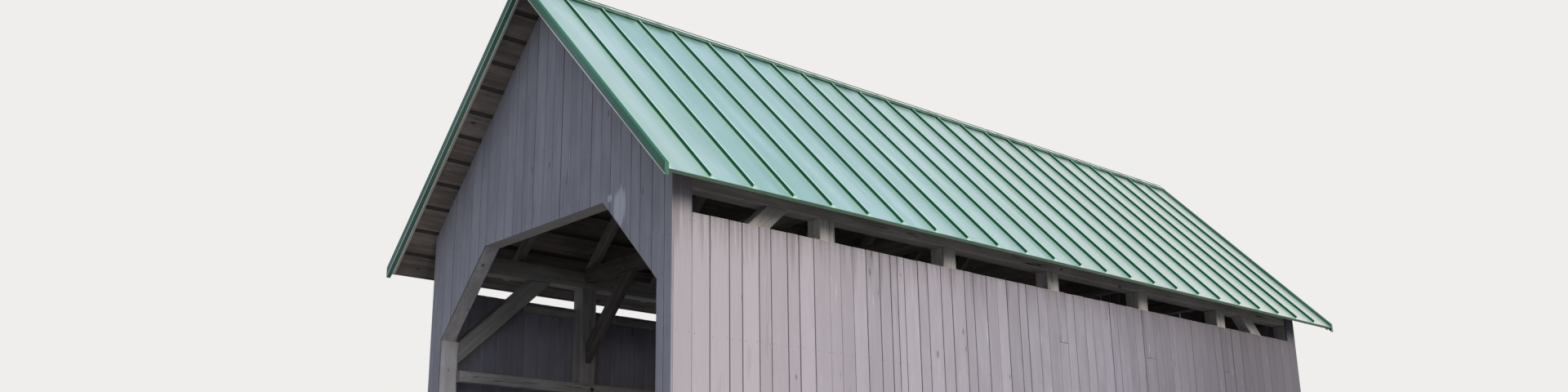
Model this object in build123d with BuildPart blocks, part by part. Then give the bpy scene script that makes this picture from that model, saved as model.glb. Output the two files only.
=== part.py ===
"""Single-lane covered timber bridge on two stone abutments.

X runs across the road, Y along it, and Z is up. The origin is on the ground in the
middle of the span. Both ends and both sides are alike, so pieces are drawn once, on
the +X side or at the +Y end, and mirrored. All sizes are in millimetres.
"""
import os
from math import atan2, cos, hypot

from build123d import *

os.makedirs("parts", exist_ok=True)

# Overall sizes
bridge_length = 13760.0
wall_half_width = 2650.0
deck_top = 2400.0
eave_height = 6050.0
eave_overhang = 470.0
ridge_height = 9290.0

# Roof covering: standing-seam sheet on spaced boards
panel_width = 610.0
panel_count = 24
sheet_thickness = 4.0
seam_width = 24.0
seam_height = 40.0
seam_setback = 25.0
sheathing_thickness = 25.0
sheathing_count = 12
sheathing_gap = 65.0
ridge_gap = 40.0

# Ridge cap: a vented cap on notched closure strips
cap_half_width = 88.0
cap_thickness = 4.0
cap_lip = 24.0
closure_setback = 22.0
closure_thickness = 4.0
closure_clearance = 0.3

# Rake: a pale batten on the ends of the boards, under a folded green box trim
rake_batten_thickness = 36.0
rake_batten_depth = 69.0
rake_batten_setback = 58.0
rake_trim_thickness = 4.0
rake_trim_depth = 100.0
rake_trim_reach = 30.0
rake_trim_width = 56.0
rake_trim_return = 54.0
eave_drip_thickness = 4.0
eave_drip_depth = 38.0

# Timber frame
siding_thickness = 25.0
eave_opening = 280.0
siding_skirt = 100.0
corner_board_width = 280.0
post_width = 220.0
post_length = 250.0
bay_count = 6
plate_depth = 236.0
rafter_count = 12
rafter_width = 100.0
rafter_depth = 160.0
rafter_notch = 20.0
rafter_tail_lift = 100.0
tie_width = 180.0
tie_drop = 151.0
tie_depth = 210.0
tie_bearing = 110.0
knee_rise = 1195.0
knee_run = 1138.0
knee_depth = 290.0
knee_thickness = 100.0
end_brace_rise = 1349.0
end_brace_run = 1480.0
end_brace_depth = 300.0
end_brace_thickness = 180.0
truss_brace_depth = 270.0
truss_brace_thickness = 180.0
truss_brace_inset = 20.0
rail_drop = 315.0
rail_depth = 150.0
rail_thickness = 120.0
girt_depth = 100.0
girt_thickness = 50.0
girt_drop = 60.0

# Floor
deck_thickness = 100.0
deck_side_clearance = 5.0
floor_beam_depth = 250.0
floor_beam_width = 180.0
floor_beams_per_bay = 2
floor_beam_end_gap = 5.0
chord_depth = 350.0

# Portal: a rectangular opening with two clipped upper corners
portal_clip_rise = 1095.0
portal_clip_run = 1050.0
lining_thickness = 25.0
lining_head_depth = 190.0
portal_brace_depth = 150.0
portal_brace_width = 180.0

# Abutments and their bearings
bed_timber_depth = 200.0
bed_timber_width = 250.0
bed_timber_end_gap = 5.0
bearing_inset = 200.0
bearing_spacing = 480.0
abutment_half_width = 2950.0
abutment_seat_length = 970.0
backwall_thickness = 700.0
backwall_gap = 20.0
abutment_batter = 120.0

# Worked out from the sizes above
roof_length = panel_width * panel_count
roof_end = roof_length / 2
wall_end = bridge_length / 2
eave_half_width = wall_half_width + eave_overhang
roof_rise = ridge_height - eave_height
roof_pitch = roof_rise / eave_half_width
slope_angle = atan2(roof_rise, eave_half_width)
slope_length = hypot(roof_rise, eave_half_width)
frame_end = wall_end - siding_thickness
frame_outer = wall_half_width - siding_thickness
frame_inner = frame_outer - post_width
rafter_top_depth = sheet_thickness + sheathing_thickness
rafter_low_depth = rafter_top_depth + rafter_depth
chord_top = deck_top - deck_thickness - floor_beam_depth
chord_bottom = chord_top - chord_depth
seat_height = chord_bottom - bed_timber_depth
siding_bottom = chord_bottom - siding_skirt
end_post_y = frame_end - post_length / 2
bay_length = 2 * end_post_y / bay_count
post_places = [bay * bay_length - end_post_y for bay in range(bay_count + 1)]
bay_clear_length = bay_length - post_length
rafter_end_y = frame_end - rafter_width / 2
rafter_step = 2 * rafter_end_y / (rafter_count - 1)
rafter_places = [number * rafter_step - rafter_end_y for number in range(rafter_count)]
trim_end = roof_end + rake_trim_reach
trim_foot = eave_half_width + rake_trim_thickness
trim_inner = trim_end - rake_trim_width
trim_top = seam_height + rake_trim_thickness
trim_low = rake_trim_depth - trim_top
trim_back = trim_low - rake_trim_thickness
batten_end = trim_end - rake_trim_thickness - rake_trim_return
board_end = batten_end - rake_batten_thickness
drip_end = trim_inner - closure_clearance

# The right roof slope: local x runs down the slope from the ridge line, y along it
right_slope = Plane(
    origin=(0, 0, ridge_height),
    x_dir=(eave_half_width, 0, -roof_rise),
    z_dir=(roof_rise, 0, eave_half_width),
)


def roof_z(x: float, depth: float = 0.0) -> float:
    """Height, at x from the centre, of the plane that lies depth under the roof sheet."""
    return ridge_height - x * roof_pitch - depth / cos(slope_angle)


# The rafters' seat sets the plate, and the plate sets what hangs from it or stops under it
plate_top = roof_z(frame_outer, rafter_low_depth) + rafter_notch
plate_bottom = plate_top - plate_depth
siding_top = plate_bottom - eave_opening
tie_bottom = plate_top - tie_drop
tie_top = tie_bottom + tie_depth
portal_half_width = frame_inner - lining_thickness
portal_top_half_width = portal_half_width - portal_clip_run
portal_top = tie_bottom - lining_thickness
portal_spring = portal_top - portal_clip_rise
end_brace_foot = plate_bottom - end_brace_rise
knee_foot = tie_bottom - knee_rise
rail_bottom = knee_foot - rail_drop - rail_depth


def portal_outline(grow: float, foot: float) -> list[tuple[float, float]]:
    """Corners of the portal opening in X and Z, widened by grow, from foot up."""
    run = portal_half_width - portal_top_half_width
    rise = portal_top - portal_spring
    length = hypot(run, rise)
    spring = portal_spring + grow * (length - rise) / run
    corner = portal_top_half_width + grow * (length - run) / rise
    side = portal_half_width + grow
    head = portal_top + grow
    right = [(side, foot), (side, spring), (corner, head)]
    return right + [(-x, z) for x, z in reversed(right)]


# Stone abutment at the far end: a battered mass with a seat and a backwall
abutment_face = frame_end - abutment_seat_length
abutment_back = wall_end + backwall_gap + backwall_thickness
with BuildPart() as abutment_far:
    with BuildSketch(Plane.YZ) as abutment_section:
        Polygon(
            (abutment_face - abutment_batter, 0),
            (abutment_back, 0),
            (abutment_back, deck_top),
            (abutment_back - backwall_thickness, deck_top),
            (abutment_back - backwall_thickness, seat_height),
            (abutment_face, seat_height),
            align=None,
        )
    extrude(amount=abutment_half_width, both=True)
with BuildPart() as abutment_near:
    mirror(abutment_far.part, about=Plane.XZ)

# Bed timbers across the seats, two at each end
bearing_places = [frame_end - bearing_inset, frame_end - bearing_inset - bearing_spacing]
with BuildPart() as bed_timbers:
    with Locations(*[(0, side * y, seat_height) for y in bearing_places for side in (-1, 1)]):
        Box(
            2 * (frame_outer - bed_timber_end_gap),
            bed_timber_width,
            bed_timber_depth,
            align=(Align.CENTER, Align.CENTER, Align.MIN),
        )

# Bottom chords, posts and top plates stand in one plane on each side
frame_centre = (frame_outer + frame_inner) / 2
with BuildPart() as bottom_chord_right:
    with Locations((frame_centre, 0, chord_bottom)):
        Box(post_width, 2 * frame_end, chord_depth, align=(Align.CENTER, Align.CENTER, Align.MIN))
with BuildPart() as bottom_chord_left:
    mirror(bottom_chord_right.part, about=Plane.YZ)

with BuildPart() as posts_right:
    with Locations(*[(frame_centre, y, chord_top) for y in post_places]):
        Box(
            post_width,
            post_length,
            plate_bottom - chord_top,
            align=(Align.CENTER, Align.CENTER, Align.MIN),
        )
with BuildPart() as posts_left:
    mirror(posts_right.part, about=Plane.YZ)

with BuildPart() as top_plate_right:
    with Locations((frame_centre, 0, plate_bottom)):
        Box(post_width, 2 * frame_end, plate_depth, align=(Align.CENTER, Align.CENTER, Align.MIN))
with BuildPart() as top_plate_left:
    mirror(top_plate_right.part, about=Plane.YZ)

# Truss braces: one in each bay, rising from the foot of its outer post towards midspan
truss_brace_outer = frame_outer - truss_brace_inset
with BuildPart() as truss_braces_right:
    with BuildSketch(Plane.YZ.offset(truss_brace_outer)) as truss_brace_sections:
        for bay in range(bay_count // 2):
            foot = end_post_y - bay * bay_length - post_length / 2
            head = foot - bay_clear_length
            for side in (-1, 1):
                Polygon(
                    (side * foot, chord_top),
                    (side * foot, chord_top + truss_brace_depth),
                    (side * head, rail_bottom),
                    (side * head, rail_bottom - truss_brace_depth),
                    align=None,
                )
    extrude(amount=-truss_brace_thickness)
with BuildPart() as truss_braces_left:
    mirror(truss_braces_right.part, about=Plane.YZ)

# Middle rail: a continuous timber along the inner faces of the posts
rail_half_length = frame_end - post_length
with BuildPart() as rail_right:
    with Locations((frame_inner - rail_thickness / 2, 0, rail_bottom)):
        Box(
            rail_thickness,
            2 * rail_half_length,
            rail_depth,
            align=(Align.CENTER, Align.CENTER, Align.MIN),
        )
with BuildPart() as rail_left:
    mirror(rail_right.part, about=Plane.YZ)

# Girts between the posts carry the top of the siding
girt_x = frame_outer - girt_thickness / 2
girt_z = siding_top - girt_drop - girt_depth / 2
with BuildPart() as girts_right:
    with Locations(*[(girt_x, y + bay_length / 2, girt_z) for y in post_places[1:-2]]):
        Box(girt_thickness, bay_clear_length, girt_depth)
    end_girt_rise = siding_top - girt_drop - end_brace_foot
    end_girt_start = end_post_y - post_length / 2 - end_girt_rise * end_brace_run / end_brace_rise
    end_girt_stop = end_post_y - bay_length + post_length / 2
    with Locations(*[(girt_x, side * (end_girt_start + end_girt_stop) / 2, girt_z) for side in (-1, 1)]):
        Box(girt_thickness, end_girt_start - end_girt_stop, girt_depth)
with BuildPart() as girts_left:
    mirror(girts_right.part, about=Plane.YZ)

# End braces rise from the corner posts to the top plate
end_brace_start = end_post_y - post_length / 2
end_brace_high_run = end_brace_run * (1 - end_brace_depth / end_brace_rise)
with BuildPart() as end_braces_right:
    with BuildSketch(Plane.YZ.offset(frame_outer)) as end_brace_sections:
        for side in (-1, 1):
            Polygon(
                (side * end_brace_start, end_brace_foot),
                (side * end_brace_start, end_brace_foot + end_brace_depth),
                (side * (end_brace_start - end_brace_high_run), plate_bottom),
                (side * (end_brace_start - end_brace_run), plate_bottom),
                align=None,
            )
    extrude(amount=-end_brace_thickness)
with BuildPart() as end_braces_left:
    mirror(end_braces_right.part, about=Plane.YZ)

# Tie beams join the plates over every pair of posts and lap onto the plates
tie_end = frame_inner + tie_bearing
tie_planes = [Plane.XZ.offset(-y) for y in post_places]
with BuildPart() as tie_beams:
    with BuildSketch(*tie_planes) as tie_sections:
        Polygon(
            (-frame_inner, tie_bottom),
            (frame_inner, tie_bottom),
            (frame_inner, plate_top),
            (tie_end, plate_top),
            (tie_end, tie_top),
            (-tie_end, tie_top),
            (-tie_end, plate_top),
            (-frame_inner, plate_top),
            align=None,
        )
    extrude(amount=tie_width / 2, both=True)

# Knee braces stiffen the inner ties against their posts
knee_high_run = knee_run * (1 - knee_depth / knee_rise)
knee_planes = [Plane.XZ.offset(-y) for y in post_places[1:-1]]
with BuildPart() as knee_braces_right:
    with BuildSketch(*knee_planes) as knee_sections:
        Polygon(
            (frame_inner, knee_foot),
            (frame_inner, knee_foot + knee_depth),
            (frame_inner - knee_high_run, tie_bottom),
            (frame_inner - knee_run, tie_bottom),
            align=None,
        )
    extrude(amount=knee_thickness / 2, both=True)
with BuildPart() as knee_braces_left:
    mirror(knee_braces_right.part, about=Plane.YZ)

# Rafters seat on the plates with a small notch, and their tails are cut level; the rafters in
# the gable walls end flush with the side walls
rafter_tail_bottom = eave_height + rafter_tail_lift
seat_x = (roof_z(0, rafter_low_depth) - plate_top) / roof_pitch
tail_start = (roof_z(0, rafter_low_depth) - rafter_tail_bottom) / roof_pitch
tail_tip = (roof_z(0, rafter_top_depth) - rafter_tail_bottom) / roof_pitch
rafter_planes = [Plane.XZ.offset(-y) for y in rafter_places]
with BuildPart() as rafters_right:
    with BuildSketch(*rafter_planes) as rafter_sections:
        Polygon(
            (0, roof_z(0, rafter_low_depth)),
            (seat_x, plate_top),
            (frame_outer, plate_top),
            (frame_outer, roof_z(frame_outer, rafter_low_depth)),
            (tail_start, rafter_tail_bottom),
            (tail_tip, rafter_tail_bottom),
            (0, roof_z(0, rafter_top_depth)),
            align=None,
        )
    extrude(amount=rafter_width / 2, both=True)
    with Locations(*[(wall_half_width, end * rafter_end_y, eave_height) for end in (-1, 1)]):
        Box(
            eave_overhang,
            rafter_width,
            roof_rise,
            align=(Align.MIN, Align.CENTER, Align.MIN),
            mode=Mode.SUBTRACT,
        )
with BuildPart() as rafters_left:
    mirror(rafters_right.part, about=Plane.YZ)

# Spaced roof boards run the length of the roof under the sheet
sheathing_pitch = (slope_length - ridge_gap + sheathing_gap) / sheathing_count
sheathing_width = sheathing_pitch - sheathing_gap
sheathing_places = [
    (ridge_gap + sheathing_width / 2 + number * sheathing_pitch, 0)
    for number in range(sheathing_count)
]
with BuildPart() as roof_boards_right:
    with BuildSketch(right_slope.offset(-sheet_thickness)) as sheathing_plan:
        with Locations(*sheathing_places):
            Rectangle(sheathing_width, 2 * board_end)
    extrude(amount=-sheathing_thickness)
with BuildPart() as roof_boards_left:
    mirror(roof_boards_right.part, about=Plane.YZ)

# Roof sheet: flat pans with a standing seam at every panel joint
seam_places = [
    ((ridge_gap + slope_length - seam_setback) / 2, number * panel_width - roof_end)
    for number in range(1, panel_count)
]
seam_length = slope_length - seam_setback - ridge_gap
with BuildPart() as roof_panels_right:
    with BuildSketch(right_slope) as pan_plan:
        with Locations(((ridge_gap + slope_length) / 2, 0)):
            Rectangle(slope_length - ridge_gap, 2 * roof_end)
    extrude(amount=-sheet_thickness)
    with BuildSketch(right_slope) as seam_plan:
        with Locations(*seam_places):
            Rectangle(seam_length, seam_width)
    extrude(amount=seam_height)
with BuildPart() as roof_panels_left:
    mirror(roof_panels_right.part, about=Plane.YZ)

# Eave drip: a folded strip that hangs from the edge of the boards
with BuildPart() as eave_drip_right:
    with BuildSketch(right_slope.offset(-sheet_thickness)) as drip_plan:
        with Locations((slope_length + eave_drip_thickness / 2, 0)):
            Rectangle(eave_drip_thickness, 2 * drip_end)
    extrude(amount=-eave_drip_depth)
with BuildPart() as eave_drip_left:
    mirror(eave_drip_right.part, about=Plane.YZ)


def rake_strip(top: float, low: float, reach: float = eave_half_width) -> list[tuple[float, float]]:
    """Corners in X and Z of a strip along both rakes, from depth top to depth low."""
    right = [(reach, roof_z(reach, top)), (reach, roof_z(reach, low))]
    left = [(-x, z) for x, z in reversed(right)]
    return [(0, roof_z(0, top)), *right, (0, roof_z(0, low)), *left]


# A batten follows both slopes at each end and stops behind the eave drip
with BuildPart() as rake_batten_far:
    with BuildSketch(Plane.XZ.offset(-batten_end)) as batten_section:
        Polygon(
            *rake_strip(
                sheet_thickness,
                sheet_thickness + rake_batten_depth,
                eave_half_width - rake_batten_setback,
            ),
            align=None,
        )
    extrude(amount=rake_batten_thickness)
with BuildPart() as rake_batten_near:
    mirror(rake_batten_far.part, about=Plane.XZ)

# The trim is folded sheet: a face, a top, a leg on the pans, a return back to the batten and
# a plate that closes its lower end at each eave
with BuildPart() as rake_trim_far:
    with BuildSketch(Plane.XZ.offset(-trim_end)) as trim_face:
        Polygon(*rake_strip(-trim_top, trim_low), align=None)
    extrude(amount=rake_trim_thickness)
    with BuildSketch(Plane.XZ.offset(-trim_end)) as trim_cover:
        Polygon(*rake_strip(-trim_top, -seam_height), align=None)
    extrude(amount=rake_trim_width)
    with BuildSketch(Plane.XZ.offset(-trim_inner - rake_trim_thickness)) as trim_leg:
        Polygon(*rake_strip(-trim_top, 0), align=None)
    extrude(amount=rake_trim_thickness)
    with BuildSketch(Plane.XZ.offset(-trim_end)) as trim_return:
        Polygon(*rake_strip(trim_back, trim_low), align=None)
    extrude(amount=trim_end - batten_end)
    with BuildSketch(Plane.XZ.offset(-trim_end)) as trim_ends:
        for side in (-1, 1):
            Polygon(
                (side * eave_half_width, roof_z(eave_half_width, -trim_top)),
                (side * trim_foot, roof_z(eave_half_width, -trim_top)),
                (side * trim_foot, roof_z(eave_half_width, trim_low)),
                (side * eave_half_width, roof_z(eave_half_width, trim_low)),
                align=None,
            )
    extrude(amount=rake_trim_width)
with BuildPart() as rake_trim_near:
    mirror(rake_trim_far.part, about=Plane.XZ)

# Ridge cap: a folded cap that lies over the rake trims, with lips and closure strips between
# them that are notched round every seam
cap_lift = trim_top + closure_clearance + cap_thickness
cap_low = roof_z(cap_half_width, -cap_lift)
cap_peak = roof_z(0, -cap_lift)
cap_inner_drop = cap_thickness / cos(slope_angle)
cap_run = trim_inner - closure_clearance
closure_outer = cap_half_width - closure_setback
closure_inner = closure_outer - closure_thickness
with BuildPart() as ridge_cap:
    with BuildSketch(Plane.XZ) as cap_section:
        Polygon(
            (0, cap_peak),
            (cap_half_width, cap_low),
            (cap_half_width, cap_low - cap_inner_drop),
            (0, cap_peak - cap_inner_drop),
            (-cap_half_width, cap_low - cap_inner_drop),
            (-cap_half_width, cap_low),
            align=None,
        )
    extrude(amount=trim_end, both=True)
    with BuildSketch(Plane.XZ) as lip_sections:
        with Locations(
            (cap_half_width - cap_thickness / 2, cap_low),
            (cap_thickness / 2 - cap_half_width, cap_low),
        ):
            Rectangle(cap_thickness, cap_lip, align=(Align.CENTER, Align.MAX))
    extrude(amount=cap_run, both=True)
    with BuildSketch(Plane.XZ) as closure_sections:
        for side in (-1, 1):
            Polygon(
                (side * closure_outer, roof_z(closure_outer, -closure_clearance)),
                (side * closure_outer, roof_z(closure_outer, -cap_lift) - cap_inner_drop / 2),
                (side * closure_inner, roof_z(closure_inner, -cap_lift) - cap_inner_drop / 2),
                (side * closure_inner, roof_z(closure_inner, -closure_clearance)),
                align=None,
            )
    extrude(amount=cap_run, both=True)
    for slope in (right_slope, Plane(
        origin=(0, 0, ridge_height),
        x_dir=(-eave_half_width, 0, -roof_rise),
        z_dir=(-roof_rise, 0, eave_half_width),
    )):
        with BuildSketch(slope) as seam_notches:
            with Locations(*[(x, y) for x, y in seam_places]):
                Rectangle(seam_length, seam_width + 2 * closure_clearance)
        extrude(amount=seam_height + closure_clearance, mode=Mode.SUBTRACT)

# Floor beams lie on the chords between the posts, and the deck lies on them
beam_offsets = [(number + 0.5) / floor_beams_per_bay for number in range(floor_beams_per_bay)]
beam_places = [
    y + offset * bay_length for y in post_places[:-1] for offset in beam_offsets
]
with BuildPart() as floor_beams:
    with Locations(*[(0, y, chord_top) for y in beam_places]):
        Box(
            2 * (frame_outer - floor_beam_end_gap),
            floor_beam_width,
            floor_beam_depth,
            align=(Align.CENTER, Align.CENTER, Align.MIN),
        )
with BuildPart() as deck:
    with Locations((0, 0, deck_top)):
        Box(
            2 * (portal_half_width - deck_side_clearance),
            bridge_length,
            deck_thickness,
            align=(Align.CENTER, Align.CENTER, Align.MAX),
        )

# Siding: side walls that stop short of the eaves, and a taller board at each corner
with BuildPart() as side_wall_right:
    with Locations((frame_outer, 0, siding_bottom)):
        Box(
            siding_thickness,
            2 * (frame_end - corner_board_width),
            siding_top - siding_bottom,
            align=(Align.MIN, Align.CENTER, Align.MIN),
        )
with BuildPart() as side_wall_left:
    mirror(side_wall_right.part, about=Plane.YZ)

corner_board_top = roof_z(wall_half_width, rafter_low_depth)
corner_board_y = frame_end - corner_board_width / 2
with BuildPart() as corner_boards:
    corner_x = frame_outer + siding_thickness / 2
    with Locations(*[
        (side * corner_x, end * corner_board_y, siding_bottom) for side in (-1, 1) for end in (-1, 1)
    ]):
        Box(
            siding_thickness,
            corner_board_width,
            corner_board_top - siding_bottom,
            align=(Align.CENTER, Align.CENTER, Align.MIN),
        )

# Gable walls with the portal cut through
with BuildPart() as gable_far:
    with BuildSketch(Plane.XZ.offset(-wall_end)) as gable_face:
        Polygon(
            (-wall_half_width, siding_bottom),
            (wall_half_width, siding_bottom),
            (wall_half_width, roof_z(wall_half_width, rafter_top_depth)),
            (0, roof_z(0, rafter_top_depth)),
            (-wall_half_width, roof_z(wall_half_width, rafter_top_depth)),
            align=None,
        )
        Polygon(*portal_outline(0, siding_bottom), align=None, mode=Mode.SUBTRACT)
    extrude(amount=siding_thickness)
with BuildPart() as gable_near:
    mirror(gable_far.part, about=Plane.XZ)

# Boarded returns line the jambs, the clipped corners and the head of each portal
with BuildPart() as portal_lining_far:
    with BuildSketch(Plane.XZ.offset(-frame_end)) as head_lining:
        Polygon(*portal_outline(lining_thickness, chord_top), align=None)
        Polygon(*portal_outline(0, chord_top), align=None, mode=Mode.SUBTRACT)
    extrude(amount=lining_head_depth)
    jamb_height = portal_spring - chord_top
    jamb_x = portal_half_width + lining_thickness / 2
    with Locations(*[(side * jamb_x, frame_end, chord_top) for side in (-1, 1)]):
        Box(
            lining_thickness,
            post_length,
            jamb_height,
            align=(Align.CENTER, Align.MAX, Align.MIN),
        )
with BuildPart() as portal_lining_near:
    mirror(portal_lining_far.part, about=Plane.XZ)

# Timber corner braces behind the clipped corners of each portal
brace_front = end_post_y + portal_brace_width / 2
brace_inner = portal_outline(lining_thickness, chord_top)
brace_outer = portal_outline(lining_thickness + portal_brace_depth, chord_top)
brace_run = portal_half_width - portal_top_half_width
brace_rise = portal_top - portal_spring
with BuildPart() as portal_braces_far:
    with BuildSketch(Plane.XZ.offset(-brace_front)) as corner_brace_sections:
        (low_x, low_z), (high_x, high_z) = brace_inner[1:3]
        (outer_low_x, outer_low_z) = brace_outer[1]
        outer_foot = outer_low_z + (outer_low_x - frame_inner) * brace_rise / brace_run
        (outer_high_x, outer_high_z) = brace_outer[2]
        outer_head = outer_high_x + (outer_high_z - tie_bottom) * brace_run / brace_rise
        for side in (-1, 1):
            Polygon(
                (side * frame_inner, low_z),
                (side * frame_inner, outer_foot),
                (side * outer_head, tie_bottom),
                (side * high_x, tie_bottom),
                align=None,
            )
    extrude(amount=portal_brace_width)
with BuildPart() as portal_braces_near:
    mirror(portal_braces_far.part, about=Plane.XZ)

pieces = {
    "abutment_near": abutment_near,
    "abutment_far": abutment_far,
    "bed_timbers": bed_timbers,
    "bottom_chord_left": bottom_chord_left,
    "bottom_chord_right": bottom_chord_right,
    "posts_left": posts_left,
    "posts_right": posts_right,
    "top_plate_left": top_plate_left,
    "top_plate_right": top_plate_right,
    "truss_braces_left": truss_braces_left,
    "truss_braces_right": truss_braces_right,
    "rail_left": rail_left,
    "rail_right": rail_right,
    "girts_left": girts_left,
    "girts_right": girts_right,
    "end_braces_left": end_braces_left,
    "end_braces_right": end_braces_right,
    "tie_beams": tie_beams,
    "knee_braces_left": knee_braces_left,
    "knee_braces_right": knee_braces_right,
    "rafters_left": rafters_left,
    "rafters_right": rafters_right,
    "roof_boards_left": roof_boards_left,
    "roof_boards_right": roof_boards_right,
    "roof_panels_left": roof_panels_left,
    "roof_panels_right": roof_panels_right,
    "eave_drip_left": eave_drip_left,
    "eave_drip_right": eave_drip_right,
    "rake_batten_near": rake_batten_near,
    "rake_batten_far": rake_batten_far,
    "rake_trim_near": rake_trim_near,
    "rake_trim_far": rake_trim_far,
    "ridge_cap": ridge_cap,
    "floor_beams": floor_beams,
    "deck": deck,
    "side_wall_left": side_wall_left,
    "side_wall_right": side_wall_right,
    "corner_boards": corner_boards,
    "gable_near": gable_near,
    "gable_far": gable_far,
    "portal_lining_near": portal_lining_near,
    "portal_lining_far": portal_lining_far,
    "portal_braces_near": portal_braces_near,
    "portal_braces_far": portal_braces_far,
}
for name, piece in pieces.items():
    piece.part.label = name
    export_step(piece.part, f"parts/{name}.step")
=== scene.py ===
"""Looks of a covered timber bridge: boards, timbers, standing-seam roof and stonework."""

import logging
import math
import random
from dataclasses import dataclass, field
from enum import Enum
from itertools import pairwise
from typing import Iterable, Sequence

import bmesh
import bpy
from mathutils import Matrix, Vector, noise


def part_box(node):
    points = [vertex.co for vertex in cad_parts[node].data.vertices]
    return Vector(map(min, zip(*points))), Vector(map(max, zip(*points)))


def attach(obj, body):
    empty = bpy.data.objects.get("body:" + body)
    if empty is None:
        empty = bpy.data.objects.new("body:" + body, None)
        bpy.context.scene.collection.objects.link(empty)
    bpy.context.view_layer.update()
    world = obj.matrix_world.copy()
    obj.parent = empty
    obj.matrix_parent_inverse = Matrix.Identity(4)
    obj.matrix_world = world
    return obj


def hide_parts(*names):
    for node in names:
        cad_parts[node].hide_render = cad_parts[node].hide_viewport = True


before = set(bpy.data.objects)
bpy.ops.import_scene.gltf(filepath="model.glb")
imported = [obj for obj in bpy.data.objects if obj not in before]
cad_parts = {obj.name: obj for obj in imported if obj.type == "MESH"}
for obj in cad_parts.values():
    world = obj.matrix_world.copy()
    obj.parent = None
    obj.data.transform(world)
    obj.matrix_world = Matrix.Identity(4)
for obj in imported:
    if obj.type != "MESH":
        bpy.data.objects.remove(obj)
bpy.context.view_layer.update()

log = logging.getLogger("covered_bridge")

Point = tuple[float, float]
Triple = tuple[float, float, float]
Material = bpy.types.Material

UP = Vector((0.0, 0.0, 1.0))
# The portal's clipped corners: how far each one runs across and down
CLIP_RUN = 1.05
CLIP_RISE = 1.095
# The roof slope's rise for its run
ROOF_RISE = 3.24
ROOF_RUN = 3.12
# How strongly sawn ends show the colour of end grain
END_GRAIN = 0.75


def linear(colour: str) -> tuple[float, float, float, float]:
    """Turns an sRGB hex colour into linear RGBA.

    Args:
        colour: The colour, such as "#8f8a8c".

    Returns:
        Linear red, green and blue, with an alpha of 1.
    """
    channels = [int(colour[place : place + 2], 16) / 255 for place in (1, 3, 5)]
    red, green, blue = (
        value / 12.92 if value <= 0.04045 else ((value + 0.055) / 1.055) ** 2.4 for value in channels
    )
    return (red, green, blue, 1.0)


class Net:
    """A shader or geometry tree that is built one node at a time."""

    def __init__(self, tree: bpy.types.NodeTree) -> None:
        """Keeps the tree."""
        self.tree = tree

    def add(self, kind: str, inputs: Sequence | dict = (), **settings: object) -> bpy.types.Node:
        """Adds one node, sets it up and links it.

        Args:
            kind: The node's type name.
            inputs: A number, vector, hex colour, node or output for each input, by name, or in
                order for those that the settings leave in use. None leaves an input as it is,
                and a list links several to one input.
            settings: The node's own properties.

        Returns:
            The new node, which stands for its first output in use.
        """
        node = self.tree.nodes.new(kind)
        for name, value in settings.items():
            setattr(node, name, value)
        if isinstance(inputs, dict):
            pairs = [(node.inputs[name], value) for name, value in inputs.items()]
        else:
            pairs = list(zip([socket for socket in node.inputs if socket.enabled], inputs))
        for socket, given in pairs:
            for value in given if isinstance(given, list) else [given]:
                if isinstance(value, bpy.types.Node):
                    value = next(output for output in value.outputs if output.enabled)
                if isinstance(value, bpy.types.NodeSocket):
                    self.tree.links.new(value, socket)
                elif isinstance(value, str) and value.startswith("#"):
                    socket.default_value = linear(value)
                elif value is not None:
                    socket.default_value = value
        return node


def blank_material(name: str) -> tuple[Material, Net]:
    """Makes a material with an empty node tree.

    Args:
        name: The material's name.

    Returns:
        The material and its tree.
    """
    material = bpy.data.materials.new(name)
    material.use_nodes = True
    material.node_tree.nodes.clear()
    return material, Net(material.node_tree)


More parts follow.
